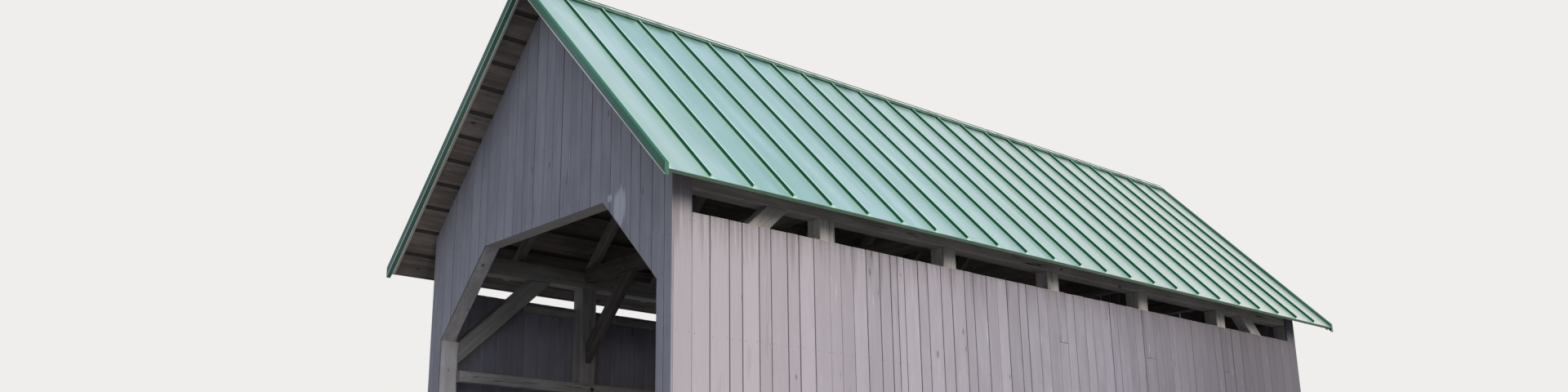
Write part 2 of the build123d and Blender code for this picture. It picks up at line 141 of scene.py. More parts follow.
@dataclass(frozen=True)
class WoodFinish:
    """Softwood left to the weather: fibres, checks, knots and stains along each board.

    The pattern follows the "grain" attribute, whose x runs along the board, and "tone",
    which is one random number for each board.
    """

    name: str
    light: str
    dark: str
    check: str
    knot: str
    worn: str
    end: str
    stain: str
    fibre_mm: float = 7.0
    fibre_length_mm: float = 420.0
    streak_mm: float = 45.0
    patch_mm: float = 320.0
    check_mm: float = 34.0
    roughness: float = 0.86
    bump_mm: float = 1.6
    tone_spread: float = 0.28
    check_gate: float = 0.52
    fibre_depth: float = 0.11
    # How much of the boards has pale drips, where water has run down
    stain_share: float = 0.0
    # On the wall in the sun, painted light towards its near end and painted shade towards its far end
    painted_light_tint: str = ""
    painted_shade_tint: str = ""
    # Grime and painted shade under the eave, and the heights where they start and are thickest
    eave_grime_and_shade: str = ""
    eave_grime_and_shade_low: float = 5.35
    eave_grime_and_shade_high: float = 6.15
    # Old paint where things were once fixed: the middle of each mark and its reach, in metres
    marks: Sequence[tuple[Triple, Triple]] = ()

    def build(self) -> Material:
        """Builds the material."""
        material, net = blank_material(self.name)
        where = net.add("ShaderNodeTexCoord").outputs["Object"]
        axes = net.add("ShaderNodeSeparateXYZ", (where,)).outputs
        grain = net.add("ShaderNodeAttribute", attribute_name="grain").outputs["Vector"]
        tone, worn, end = (
            net.add("ShaderNodeAttribute", attribute_name=name).outputs["Fac"]
            for name in ("tone", "worn", "end")
        )
        shift = net.add("ShaderNodeVectorMath", ((17.1, 31.3, 23.7), tone), operation="SCALE")
        place = net.add("ShaderNodeVectorMath", (grain, shift), operation="ADD")
        # Noise drawn out along the board, to a real length and width
        noises = []
        for length_mm, width_mm, detail in (
            (self.fibre_length_mm, self.fibre_mm, 3.0), (self.streak_mm * 34, self.streak_mm, 4.0),
            (self.patch_mm * 2.2, self.patch_mm, 5.0), (self.check_mm * 40, self.check_mm, 1.0),
            (1100.0, 260.0, 2.0), (650.0, 38.0, 2.0),
        ):
            scale = (1000 / length_mm, 1000 / width_mm, 1000 / width_mm)
            drawn = net.add("ShaderNodeVectorMath", (place, scale), operation="MULTIPLY")
            settings = {"Vector": drawn, "Scale": 1.0, "Detail": detail, "Roughness": 0.6}
            noises.append(net.add("ShaderNodeTexNoise", settings))
        fibre, streak, patch, split, gate, drip = noises

        shade = net.add("ShaderNodeMath", (streak, 0.55), operation="MULTIPLY")
        shade = net.add("ShaderNodeMath", (patch, 0.65, shade), operation="MULTIPLY_ADD")
        shade = net.add("ShaderNodeMapRange", (shade, 0.44, 0.78), interpolation_type="SMOOTHSTEP")
        colour = net.add("ShaderNodeMix", (shade, self.dark, self.light), data_type="RGBA")

        # What lies over the plain wood, in order: where it shows, its colour and how it blends
        coats = []
        # Painted light at the sunny wall's near end and painted shade at its far end
        if self.painted_light_tint:
            sunny = net.add("ShaderNodeMath", (axes["X"], 2.6), operation="GREATER_THAN")
            for tint, near, far, most in ((self.painted_light_tint, 1.6, -6.5, 0.85), (self.painted_shade_tint, 0.2, 4.8, 0.88)):
                along = net.add("ShaderNodeMapRange", (axes["Y"], near, far, 0.0, most))
                coats.append((net.add("ShaderNodeMath", (along, sunny), operation="MULTIPLY"), tint, "MIX"))
        if self.eave_grime_and_shade:
            # The grime and painted shade run down further on some boards than on others
            rise = net.add("ShaderNodeMath", (streak, 2.2, axes["Z"]), operation="MULTIPLY_ADD")
            rise = net.add("ShaderNodeMath", (rise, 1.1), operation="SUBTRACT")
            eave_grime_and_shade_mask = net.add(
                "ShaderNodeMapRange", (rise, self.eave_grime_and_shade_low, self.eave_grime_and_shade_high, 0.0, 0.5),
                interpolation_type="SMOOTHSTEP",
            )
            coats.append((eave_grime_and_shade_mask, self.eave_grime_and_shade, "MIX"))
        half, deep = self.tone_spread / 2, self.fibre_depth
        board = net.add("ShaderNodeMapRange", (tone, 0.0, 1.0, 1.0 - half, 1.0 + half))
        level = net.add("ShaderNodeMapRange", (fibre, 0.3, 0.7, 1.0 - deep, 1.0 + deep))
        level = net.add("ShaderNodeMath", (board, level), operation="MULTIPLY")
        coats.append((1.0, net.add("ShaderNodeCombineXYZ", (level, level, level)), "MULTIPLY"))
        # Knots: round dark spots, a few to each board
        cells = net.add("ShaderNodeVectorMath", (place, (1 / 0.75, 1 / 0.3, 1 / 0.3)), operation="MULTIPLY")
        spots = net.add("ShaderNodeTexVoronoi", {"Vector": cells, "Scale": 1.0}, feature="F1")
        knot = net.add("ShaderNodeMapRange", (spots, 0.085, 0.045), interpolation_type="SMOOTHSTEP")
        coats.append((knot, self.knot, "MIX"))
        # Checks: thin dark splits that follow the grain
        line = net.add("ShaderNodeMath", (split, 0.5), operation="SUBTRACT")
        line = net.add("ShaderNodeMath", (line,), operation="ABSOLUTE")
        line = net.add("ShaderNodeMapRange", (line, 0.012, 0.003))
        cracked = net.add("ShaderNodeMapRange", (gate, self.check_gate, self.check_gate + 0.08))
        crack = net.add("ShaderNodeMath", (line, cracked), operation="MULTIPLY")
        coats.append((crack, self.check, "MIX"))
        if self.stain_share:
            edge = 1.0 - self.stain_share
            drips = net.add(
                "ShaderNodeMapRange", (drip, edge - 0.08, edge + 0.04), interpolation_type="SMOOTHSTEP"
            )
            bloom = net.add("ShaderNodeMapRange", (patch, 0.5, 0.66, 0.0, 0.7))
            coats.append((net.add("ShaderNodeMath", (drips, bloom), operation="MULTIPLY"), self.stain, "MIX"))
        for middle, reach in self.marks:
            off = net.add("ShaderNodeVectorMath", (where, middle), operation="SUBTRACT")
            off = net.add("ShaderNodeVectorMath", (off, reach), operation="DIVIDE")
            off = net.add("ShaderNodeVectorMath", (off,), operation="LENGTH")
            off = net.add("ShaderNodeMath", (streak, 1.8, off), operation="MULTIPLY_ADD")
            off = net.add("ShaderNodeMapRange", (off, 2.05, 1.7, 0.0, 0.55), interpolation_type="SMOOTHSTEP")
            coats.append((off, self.stain, "MIX"))
        coats += [(worn, self.worn, "MIX"), (end, self.end, "MIX")]
        for mask, tint, way in coats:
            colour = net.add("ShaderNodeMix", (mask, colour, tint), data_type="RGBA", blend_type=way)

        height = net.add("ShaderNodeMath", (fibre, 0.5), operation="MULTIPLY")
        height = net.add("ShaderNodeMath", (streak, 0.6, height), operation="MULTIPLY_ADD")
        height = net.add("ShaderNodeMath", (crack, -1.2, height), operation="MULTIPLY_ADD")
        bump = {"Height": height, "Distance": self.bump_mm / 1000, "Strength": 0.9}
        gloss = net.add("ShaderNodeMapRange", (fibre, 0.0, 1.0, self.roughness - 0.08, self.roughness + 0.08))
        surface = {
            "Base Color": colour, "Roughness": gloss, "Normal": net.add("ShaderNodeBump", bump),
            "Specular IOR Level": 0.3,
        }
        net.add("ShaderNodeOutputMaterial", {"Surface": net.add("ShaderNodeBsdfPrincipled", surface)})
        return material


@dataclass(frozen=True)
class CoatedSteel:
    """Roll-formed steel with a baked satin coating: even green, chalked a little by the sun."""

    name: str
    coat: str
    chalk: str
    roughness: float = 0.24
    ripple_mm: float = 0.9
    ripple_length_mm: float = 520.0
    gloss: float = 0.4
    lacquer: float = 0.0
    sheen: float = 0.0
    # Colours of the strips of painted light beside the seams and of the painted sky reflection, the seams'
    # pitch and the first seam's place
    painted_seam_glow: str = ""
    painted_sky_reflection: str = ""
    seam_pitch: float = 0.61
    seam_start: float = 7.32
    # Painted highlights along folded edges: the share of |x| and of z in the place, its middle and half its
    # width in metres, and the colour
    hem_highlights: Sequence[tuple[float, float, float, float, str]] = ()

    def build(self) -> Material:
        """Builds the material."""
        material, net = blank_material(self.name)
        place = net.add("ShaderNodeTexCoord").outputs["Object"]
        chalk = net.add(
            "ShaderNodeTexNoise", {"Vector": place, "Scale": 0.7, "Detail": 3.0, "Roughness": 0.5}
        )
        # Rain runs down the slope, so the streaks are short along the bridge and long down it
        drawn = net.add("ShaderNodeVectorMath", (place, (0.5, 5.0, 0.5)), operation="MULTIPLY")
        streak = net.add(
            "ShaderNodeTexNoise", {"Vector": drawn, "Scale": 1.0, "Detail": 1.5, "Roughness": 0.5}
        )
        amount = net.add("ShaderNodeMath", (chalk, streak), operation="MULTIPLY")
        amount = net.add("ShaderNodeMapRange", (amount, 0.14, 0.44, 0.0, 0.7))
        coats = []
        if self.painted_seam_glow:
            along = net.add("ShaderNodeSeparateXYZ", (place,)).outputs["Y"]
            # Painted reflection of the pale sky, thicker towards the far end and on the first two pans
            for start, stop, most in ((-3.5, 6.0, 0.7), (-5.9, -7.0, 0.26)):
                coats.append((net.add("ShaderNodeMapRange", (along, start, stop, 0.0, most)), self.painted_sky_reflection))
            # A strip of painted light beside each seam, whose edge wanders with the chalk
            strip = net.add("ShaderNodeMath", (along, self.seam_start), operation="ADD")
            strip = net.add("ShaderNodeMath", (strip, self.seam_pitch / 2), operation="PINGPONG")
            strip = net.add("ShaderNodeMath", (chalk, 0.06, strip), operation="MULTIPLY_ADD")
            strip = net.add(
                "ShaderNodeMapRange", (strip, 0.15, 0.045, 0.0, 0.8), interpolation_type="SMOOTHSTEP"
            )
            coats.append((strip, self.painted_seam_glow))
        for x_share, z_share, middle, half, tint in self.hem_highlights:
            # Where |x| and z add up to the fold's place
            hem = net.add("ShaderNodeVectorMath", (place,), operation="ABSOLUTE")
            hem = net.add("ShaderNodeVectorMath", (hem, (x_share, 0.0, z_share)), operation="DOT_PRODUCT")
            hem = net.add("ShaderNodeMath", (hem, middle, half), operation="COMPARE")
            # The painted highlight on the fold is weaker in places
            highlight_breakup = net.add("ShaderNodeMapRange", (streak, 0.3, 0.5, 0.45))
            coats.append((net.add("ShaderNodeMath", (hem, highlight_breakup), operation="MULTIPLY"), tint))
        colour = net.add("ShaderNodeMix", (amount, self.coat, self.chalk), data_type="RGBA")
        for mask, tint in coats:
            colour = net.add("ShaderNodeMix", (mask, colour, tint), data_type="RGBA")
        ripple = net.add(
            "ShaderNodeTexNoise", {"Vector": place, "Scale": 1000 / self.ripple_length_mm, "Detail": 1.0}
        )
        bump = {"Height": ripple, "Distance": self.ripple_mm / 1000}
        surface = {
            "Base Color": colour, "Normal": net.add("ShaderNodeBump", bump),
            "Roughness": net.add(
                "ShaderNodeMapRange", (amount, 0.0, 1.0, self.roughness - 0.03, self.roughness + 0.14)
            ),
            "IOR": 1.5, "Specular IOR Level": self.gloss, "Coat Weight": self.lacquer,
            "Coat Roughness": 0.33, "Coat IOR": 1.6, "Sheen Weight": self.sheen,
            "Sheen Roughness": 0.35, "Sheen Tint": "#e4ecec",
        }
        net.add("ShaderNodeOutputMaterial", {"Surface": net.add("ShaderNodeBsdfPrincipled", surface)})
        return material


@dataclass(frozen=True)
class SplitStone:
    """Split fieldstone: mottled greys and browns, a grain of a few millimetres, lichen."""

    name: str
    cool: str
    warm: str
    dark: str
    lichen: str
    grain_mm: float = 9.0
    bump_mm: float = 7.0

    def build(self) -> Material:
        """Builds the material."""
        material, net = blank_material(self.name)
        place = net.add("ShaderNodeTexCoord").outputs["Object"]
        tone = net.add("ShaderNodeAttribute", attribute_name="tone").outputs["Fac"]
        mottle, grain = (
            net.add("ShaderNodeTexNoise", {"Vector": place, "Scale": scale, "Detail": 8.0, "Roughness": 0.7})
            for scale in (9.0, 1000 / self.grain_mm / 4)
        )
        patches = net.add("ShaderNodeTexVoronoi", {"Vector": place, "Scale": 7.0, "Randomness": 1.0})
        ragged = net.add("ShaderNodeMath", (mottle, 0.35, patches), operation="MULTIPLY_ADD")
        colour = self.cool
        for mask, tint in (
            (tone, self.warm),
            (net.add("ShaderNodeMapRange", (mottle, 0.45, 0.62, 0.0, 0.7)), self.dark),
            (net.add("ShaderNodeMapRange", (ragged, 0.36, 0.3, 0.0, 0.55)), self.lichen),
        ):
            colour = net.add("ShaderNodeMix", (mask, colour, tint), data_type="RGBA")
        height = net.add("ShaderNodeMath", (mottle, 2.0, grain), operation="MULTIPLY_ADD")
        bump = net.add("ShaderNodeBump", {"Height": height, "Distance": self.bump_mm / 1000})
        surface = {"Base Color": colour, "Roughness": 0.9, "Normal": bump}
        net.add("ShaderNodeOutputMaterial", {"Surface": net.add("ShaderNodeBsdfPrincipled", surface)})
        return material


@dataclass(frozen=True)
class RustedSteel:
    """Plain steel fastener heads that have gone dull brown, with a bright rim left here and there."""

    name: str
    steel: str
    rust: str
    metallic: float = 0.5

    def build(self) -> Material:
        """Builds the material."""
        material, net = blank_material(self.name)
        place = net.add("ShaderNodeTexCoord").outputs["Object"]
        bloom = net.add("ShaderNodeTexNoise", {"Vector": place, "Scale": 90.0, "Detail": 4.0})
        amount = net.add("ShaderNodeMapRange", (bloom, 0.35, 0.6))
        surface = {
            "Base Color": net.add("ShaderNodeMix", (amount, self.steel, self.rust), data_type="RGBA"),
            "Roughness": net.add("ShaderNodeMapRange", (amount, 0.0, 1.0, 0.45, 0.85)),
            "Metallic": self.metallic,
            "Normal": net.add("ShaderNodeBump", {"Height": bloom, "Distance": 0.0006}),
        }
        net.add("ShaderNodeOutputMaterial", {"Surface": net.add("ShaderNodeBsdfPrincipled", surface)})
        return material


class Finishes:
    """Every finish of the bridge, built once."""

    def __init__(self) -> None:
        """Builds the materials."""
        # Boards under an old grey stain: dry, matt and silvered, with painted light at the sunny wall's near
        # end and painted shade at its far end, grime and painted shade under the eave, and pale worn tops
        # that are partly a painted highlight
        self.siding = WoodFinish(
            "weathered_grey_siding", light="#93909a", dark="#85828b", check="#3a363d", knot="#757079",
            worn="#c9c2c1", end="#8b8480", stain="#c4bebe", stain_share=0.3, painted_light_tint="#aaa4a8",
            painted_shade_tint="#605d63", eave_grime_and_shade="#5f5a59", tone_spread=0.2, check_gate=0.6, streak_mm=70.0,
            fibre_depth=0.05, bump_mm=1.0,
        ).build()
        # Gable boards: the same stain, out of the sun, with a few pale marks by the portal
        self.gable = WoodFinish(
            "shaded_grey_siding", light="#959399", dark="#86848a", check="#3a363d", knot="#757079",
            worn="#9d9898", end="#858080", stain="#d2d0d6", stain_share=0.26, tone_spread=0.11,
            check_gate=0.62, streak_mm=80.0, fibre_depth=0.04, bump_mm=0.8,
            marks=(
                ((1.65, -6.88, 6.02), (0.105, 0.1, 0.24)), ((1.47, -6.88, 6.16), (0.04, 0.1, 0.045)),
            ),
        ).build()
        # Boards round each portal: paler, as painted light on the reveals
        self.lining = WoodFinish(
            "pale_portal_lining_painted_light", light="#ccc8c7", dark="#aeaaa9", check="#3d3a3c", knot="#7d7876",
            worn="#d8d3d0", end="#a8a29d", stain="#d0cbc8", tone_spread=0.1, streak_mm=80.0,
            fibre_depth=0.05,
        ).build()
        # Heavy frame timber, rough from the saw: browner and darker, out of the rain
        self.timber = WoodFinish(
            "rough_sawn_frame_timber", light="#afaaa3", dark="#908b85", check="#2c2826", knot="#4b4340",
            worn="#98928c", end="#7c746c", stain="#9b958f", fibre_mm=9.0, streak_mm=60.0,
            check_mm=55.0, bump_mm=3.0, tone_spread=0.2,
        ).build()
        # Timbers high inside: never rained on, browned and dusty, and darker still as painted shade for the
        # dim inside
        self.shaded_inner_timber = WoodFinish(
            "browned_inner_timber_painted_shade", light="#7b746e", dark="#5e5953", check="#2c2826", knot="#443c39",
            worn="#746e68", end="#605a54", stain="#756f69", fibre_mm=9.0, streak_mm=60.0,
            check_mm=55.0, bump_mm=3.0, tone_spread=0.2,
        ).build()
        # Roof boards seen from below: brown-grey and dry, with wide saw marks
        self.roof_board = WoodFinish(
            "rough_sawn_roof_board", light="#8a7f77", dark="#655c56", check="#2e2927", knot="#4a3f39",
            worn="#958b83", end="#7a6f66", stain="#8f867e", streak_mm=55.0, bump_mm=2.0,
        ).build()
        # Floor planks: dusty in the wheel tracks, with open fibres and broad checks
        self.deck = WoodFinish(
            "worn_deck_plank", light="#968c82", dark="#6d645c", check="#322c28", knot="#4d443e",
            worn="#a59c92", end="#7f756a", stain="#b0a79d", stain_share=0.28, fibre_mm=8.0,
            streak_mm=70.0, bump_mm=2.6, tone_spread=0.4,
        ).build()
        # Rake battens: old pale paint, thin at the edges, brightened to near white as painted light on their
        # shaded faces
        self.batten = WoodFinish(
            "painted_rake_batten", light="#f0ece4", dark="#d9d4c9", check="#5a5753", knot="#8f8c85",
            worn="#c9c4b8", end="#8f8b82", stain="#e9e5da", bump_mm=0.8, tone_spread=0.1, roughness=0.7,
        ).build()
        # Satin coated roofing steel: sea green where the sky lies on it, deep green in the shade
        self.roof_sheet = CoatedSteel(
            "satin_green_roof_sheet", "#5d978c", "#9cc0c2", lacquer=1.0, sheen=0.8, painted_seam_glow="#b4dcc0",
            painted_sky_reflection="#c6ccba",
        ).build()
        # Ridge cap: deep green, darkened as painted shade, with a painted highlight on one fold along each
        # side
        self.cap = CoatedSteel(
            "ridge_cap_painted_shade", "#3a4a40", "#4d5f54", roughness=0.5, gloss=0.1,
            hem_highlights=((1.0, 0.0, 0.043, 0.011, "#dff2e4"),),
        ).build()
        # The seams' folded sides: the deep green of the coat, darker than the sheet as painted shade
        self.shaded_seam_side = CoatedSteel(
            "satin_green_seam_side_painted_shade", "#26634a", "#337257", roughness=0.5, ripple_mm=0.2, gloss=0.05
        ).build()
        # The seams' folded heads: a painted highlight, a pale line beside the dark side
        self.seam_crest_highlight = CoatedSteel(
            "seam_head_painted_highlight", "#aed6c6", "#cfe8de", roughness=0.4, ripple_mm=0.2, lacquer=0.6,
            sheen=0.4,
        ).build()
        # Folded trims round the roof: a darker green, a little dull
        self.roof_trim = CoatedSteel(
            "satin_green_trim", "#446a5a", "#76958a", roughness=0.5, ripple_mm=0.4, gloss=0.08
        ).build()
        # The rake trims' faces: the same, with a painted highlight along the hem at the lower edge
        self.rake_face = CoatedSteel(
            "hemmed_green_rake_face", "#446a5a", "#76958a", roughness=0.5, ripple_mm=0.4, gloss=0.08,
            hem_highlights=((1.03846, 1.0, 9.2183, 0.0092, "#e6e6de"),),
        ).build()
        # Eave drip: the same coat, paler and olive as a painted reflection of the ground below
        self.drip = CoatedSteel(
            "olive_green_drip_painted_reflection", "#586f5e", "#6a7a69", roughness=0.6, ripple_mm=0.4, gloss=0.05
        ).build()
        # The sheet's unseen side has only a thin primer: dull brown-grey, kept dark as painted shade where it
        # shows between the roof boards
        self.primer = CoatedSteel(
            "primed_sheet_back", "#4d4842", "#5b564f", roughness=0.55, ripple_mm=0.4
        ).build()
        # Fieldstone, split by hand and laid in courses: cool grey with brown and lichened faces
        self.stone = SplitStone(
            "split_fieldstone", cool="#84857f", warm="#8e8272", dark="#5f5e5a", lichen="#a9ab97"
        ).build()
        # Lime mortar, struck back from the faces: sandy and dull
        self.mortar = SplitStone(
            "lime_mortar", cool="#908b80", warm="#8d8674", dark="#756f64", lichen="#8a8a74",
            grain_mm=4.0, bump_mm=3.0,
        ).build()
        # Cut nails: small heads, dull brown
        self.nail = RustedSteel("cut_nail_head", steel="#77726f", rust="#63554c").build()
        # Forged bolts and plate washers on the frame
        self.bolt = RustedSteel("forged_bolt", steel="#4a4846", rust="#4e3a2f", metallic=0.7).build()


class Direction(Enum):
    """Directions that boards and fasteners face."""

    RIGHT = (1.0, 0.0, 0.0)
    LEFT = (-1.0, 0.0, 0.0)
    NEAR = (0.0, -1.0, 0.0)
    FAR = (0.0, 1.0, 0.0)


def add_object(name: str, data: bpy.types.ID) -> bpy.types.Object:
    """Adds an object to the scene.

    Args:
        name: Its name.
        data: Its mesh, lamp or camera.

    Returns:
        The object.
    """
    item = bpy.data.objects.new(name, data)
    bpy.context.scene.collection.objects.link(item)
    return item


def store(mesh: bpy.types.Mesh, name: str, domain: str, values: Sequence[float] | Sequence[Vector]) -> None:
    """Stores an attribute that a finish or a tree reads.

    Args:
        mesh: The mesh.
        name: The attribute's name.
        domain: What has a value each, such as POINT.
        values: A number or a vector for each.
    """
    if isinstance(values[0], Vector):
        flat = [part for value in values for part in value]
        mesh.attributes.new(name, "FLOAT_VECTOR", domain).data.foreach_set("vector", flat)
    else:
        mesh.attributes.new(name, "FLOAT", domain).data.foreach_set("value", values)


def soften(shape: bmesh.types.BMesh, width: float) -> set[int]:
    """Takes the sharp edges off a member.

    Args:
        shape: The member.
        width: Width of the worn edge, in metres.

    Returns:
        Numbers of the new faces.
    """
    sharp = [edge for edge in shape.edges if edge.calc_face_angle(0.0) > math.radians(25)]
    made = bmesh.ops.bevel(
        shape, geom=sharp, offset=width, segments=1, affect="EDGES", clamp_overlap=True
    )
    shape.faces.index_update()
    shape.normal_update()
    return {face.index for face in made["faces"] if face.is_valid}


def islands(shape: bmesh.types.BMesh) -> list[bmesh.types.BMesh]:
    """Splits a mesh into its separate members.

    Args:
        shape: The mesh, which stays as it is.

    Returns:
        A bmesh for each member.
    """
    seen: set[int] = set()
    members = []
    shape.verts.index_update()
    for first in shape.verts:
        if first.index in seen:
            continue
        seen.add(first.index)
        queue = [first]
        found = []
        while queue:
            vert = queue.pop()
            found.append(vert)
            for edge in vert.link_edges:
                other = edge.other_vert(vert)
                if other.index not in seen:
                    seen.add(other.index)
                    queue.append(other)
        member = bmesh.new()
        copies = {vert.index: member.verts.new(vert.co) for vert in found}
        # A dict keeps the faces in the order in which they are met
        faces = {face.index: face for vert in found for face in vert.link_faces}
        for face in faces.values():
            member.faces.new([copies[corner.index] for corner in face.verts])
        member.normal_update()
        members.append(member)
    return members


def hand_over(piece: bpy.types.Object, node: str) -> None:
    """Lets a finished piece stand for its CAD node.

    Args:
        piece: The piece.
        node: The CAD node that it replaces.
    """
    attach(piece, "root")
    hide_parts(node)
    log.info("%s: %d faces, for %s", piece.name, len(piece.data.polygons), node)


def dress(node: str, *materials: Material) -> bpy.types.Mesh:
    """Gives a CAD node its finishes and leaves its shape alone.

    Args:
        node: The node's name.
        materials: The finishes, the main one first.

    Returns:
        The node's mesh.
    """
    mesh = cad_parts[node].data
    mesh.materials.clear()
    for material in materials:
        mesh.materials.append(material)
    log.info("%s: dressed in %s", node, materials[0].name)
    return mesh


class WoodPiece:
    """Gathers boards or timbers into one mesh, with the attributes that the wood finish reads."""

    def __init__(self, name: str, seed: int) -> None:
        """Starts an empty piece.

        Args:
            name: The piece's name.
            seed: The seed of its random tones.
        """
        self.name = name
        self.dice = random.Random(seed)
        self.points: list[Vector] = []
        self.faces: list[list[int]] = []
        self.grain: list[Vector] = []
        self.tone: list[float] = []
        self.worn: list[float] = []
        self.end: list[float] = []

    def take(
        self, shape: bmesh.types.BMesh, along: Vector, across: Vector, worn: set[int], edge_wear: float
    ) -> None:
        """Adds one member and frees its bmesh.

        Args:
            shape: The member, in its place.
            along: Unit direction of its grain.
            across: Unit direction across its face.
            worn: Numbers of the faces on its worn edges.
            edge_wear: How strongly those faces show bare wood.
        """
        start = len(self.points)
        shape.verts.index_update()
        centre = sum((vert.co for vert in shape.verts), Vector()) / len(shape.verts)
        deep = along.cross(across)
        self.tone += [self.dice.random()] * len(shape.verts)
        for vert in shape.verts:
            self.points.append(vert.co.copy())
            offset = vert.co - centre
            self.grain.append(Vector((offset.dot(along), offset.dot(across), offset.dot(deep))))
        for face in shape.faces:
            self.faces.append([start + vert.index for vert in face.verts])
            is_worn = face.index in worn
            self.worn.append(edge_wear if is_worn else 0.0)
            self.end.append(END_GRAIN if abs(face.normal.dot(along)) > 0.9 and not is_worn else 0.0)
        shape.free()

    def finish(self, material: Material) -> bpy.types.Object:
        """Makes the object.

        Args:
            material: Its finish.

        Returns:
            The object, linked to the scene.
        """
        mesh = bpy.data.meshes.new(self.name)
        mesh.from_pydata(self.points, [], self.faces)
        store(mesh, "grain", "POINT", self.grain)
        store(mesh, "tone", "POINT", self.tone)
        store(mesh, "worn", "FACE", self.worn)
        store(mesh, "end", "FACE", self.end)
        mesh.materials.append(material)
        mesh.update()
        return add_object(self.name, mesh)


class GrownPiece:
    """A piece that a geometry tree makes from named sizes."""

    def __init__(self, name: str, values: dict[str, object]) -> None:
        """Starts the tree, with an input for each size.

        Args:
            name: The tree's name.
            values: A number or a finish for each named input.
        """
        kinds = {float: "NodeSocketFloat", int: "NodeSocketInt", Material: "NodeSocketMaterial"}
        self.values = values
        self.tree = bpy.data.node_groups.new(name, "GeometryNodeTree")
        sides = self.tree.interface
        sides.new_socket(name="Geometry", in_out="INPUT", socket_type="NodeSocketGeometry")
        for key, value in values.items():
            sides.new_socket(name=key, in_out="INPUT", socket_type=kinds[type(value)])
        sides.new_socket(name="Geometry", in_out="OUTPUT", socket_type="NodeSocketGeometry")
        self.net = Net(self.tree)
        self.sizes = self.net.add("NodeGroupInput").outputs

    def close(self, real: bpy.types.Node) -> None:
        """Sets the finish and ends the tree.

        Args:
            real: The node whose result is the whole shape.
        """
        settings = {"Geometry": real, "Material": self.sizes["Finish"]}
        coated = self.net.add("GeometryNodeSetMaterial", settings)
        self.net.add("NodeGroupOutput", {"Geometry": coated})

    def make(self, name: str, source: bpy.types.Mesh | None = None) -> bpy.types.Object:
        """Runs the tree once and keeps its result as a plain mesh.

        Args:
            name: The piece's name.
            source: The mesh that goes in.

        Returns:
            The piece, without its modifier.
        """
        piece = add_object(name, source or bpy.data.meshes.new(name))
        modifier = piece.modifiers.new("shape", "NODES")
        modifier.node_group = self.tree
        for item in self.tree.interface.items_tree:
            if item.in_out == "INPUT" and item.name in self.values:
                modifier[item.identifier] = self.values[item.name]
        graph = bpy.context.evaluated_depsgraph_get()
        mesh = bpy.data.meshes.new_from_object(
            piece.evaluated_get(graph), preserve_all_data_layers=True, depsgraph=graph
        )
        piece.modifiers.clear()
        mesh.name = name
        piece.data = mesh
        return piece


@dataclass
class Fixings:
    """One kind of fixing, such as a nail or a peg: the same small head on every mark."""

    name: str
    finish: Material
    radius: float
    height: float
    sides: int = 10
    taper: float = 0.6
    spread: float = 0.15
    seed: int = 5
    marks: list[tuple[Vector, Vector]] = field(default_factory=list)

    def mark(self, spot: Vector, facing: Vector) -> None:
        """Marks a place for one head.

        Args:
            spot: Middle of the head's foot.
            facing: The way the head looks.
        """
        self.marks.append((spot, facing))

    def drive(self) -> None:
        """Sets a head on every mark."""
        heads = GrownPiece(f"{self.name}_heads", {
            "Head Radius": self.radius, "Head Height": self.height, "Head Sides": self.sides,
            "Taper": self.taper, "Seed": self.seed, "Finish": self.finish,
        })
        net, size = heads.net, heads.sizes
        narrow = net.add("ShaderNodeMath", (size["Head Radius"], size["Taper"]), operation="MULTIPLY")
        head = net.add("GeometryNodeMeshCone", {
            "Vertices": size["Head Sides"], "Radius Top": narrow, "Radius Bottom": size["Head Radius"],
            "Depth": size["Head Height"],
        })
        facing = net.add("GeometryNodeInputNamedAttribute", {"Name": "facing"}, data_type="FLOAT_VECTOR")
        turn = net.add("FunctionNodeAlignRotationToVector", {"Vector": facing}, axis="Z")
        scale = (1 - self.spread, 1 + self.spread, None, size["Seed"])
        scale = net.add("FunctionNodeRandomValue", scale, data_type="FLOAT")
        placed = net.add("GeometryNodeInstanceOnPoints", {
            "Points": size["Geometry"], "Instance": head, "Rotation": turn, "Scale": scale,
        })
        real = net.add("GeometryNodeRealizeInstances", {"Geometry": placed})
        heads.close(net.add(
            "GeometryNodeStoreNamedAttribute",
            {"Geometry": real, "Name": "grain", "Value": net.add("GeometryNodeInputPosition")},
            data_type="FLOAT_VECTOR", domain="POINT",
        ))

        mesh = bpy.data.meshes.new(f"{self.name}_marks")
        mesh.from_pydata([spot for spot, _ in self.marks], [], [])
        dice = random.Random(self.seed)
        store(mesh, "facing", "POINT", [facing for _, facing in self.marks])
        store(mesh, "tone", "POINT", [dice.random() for _ in self.marks])
        store(mesh, "end", "POINT", [END_GRAIN] * len(self.marks))
        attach(heads.make(self.name, mesh), "root")
        log.info("%s: %d heads", self.name, len(self.marks))


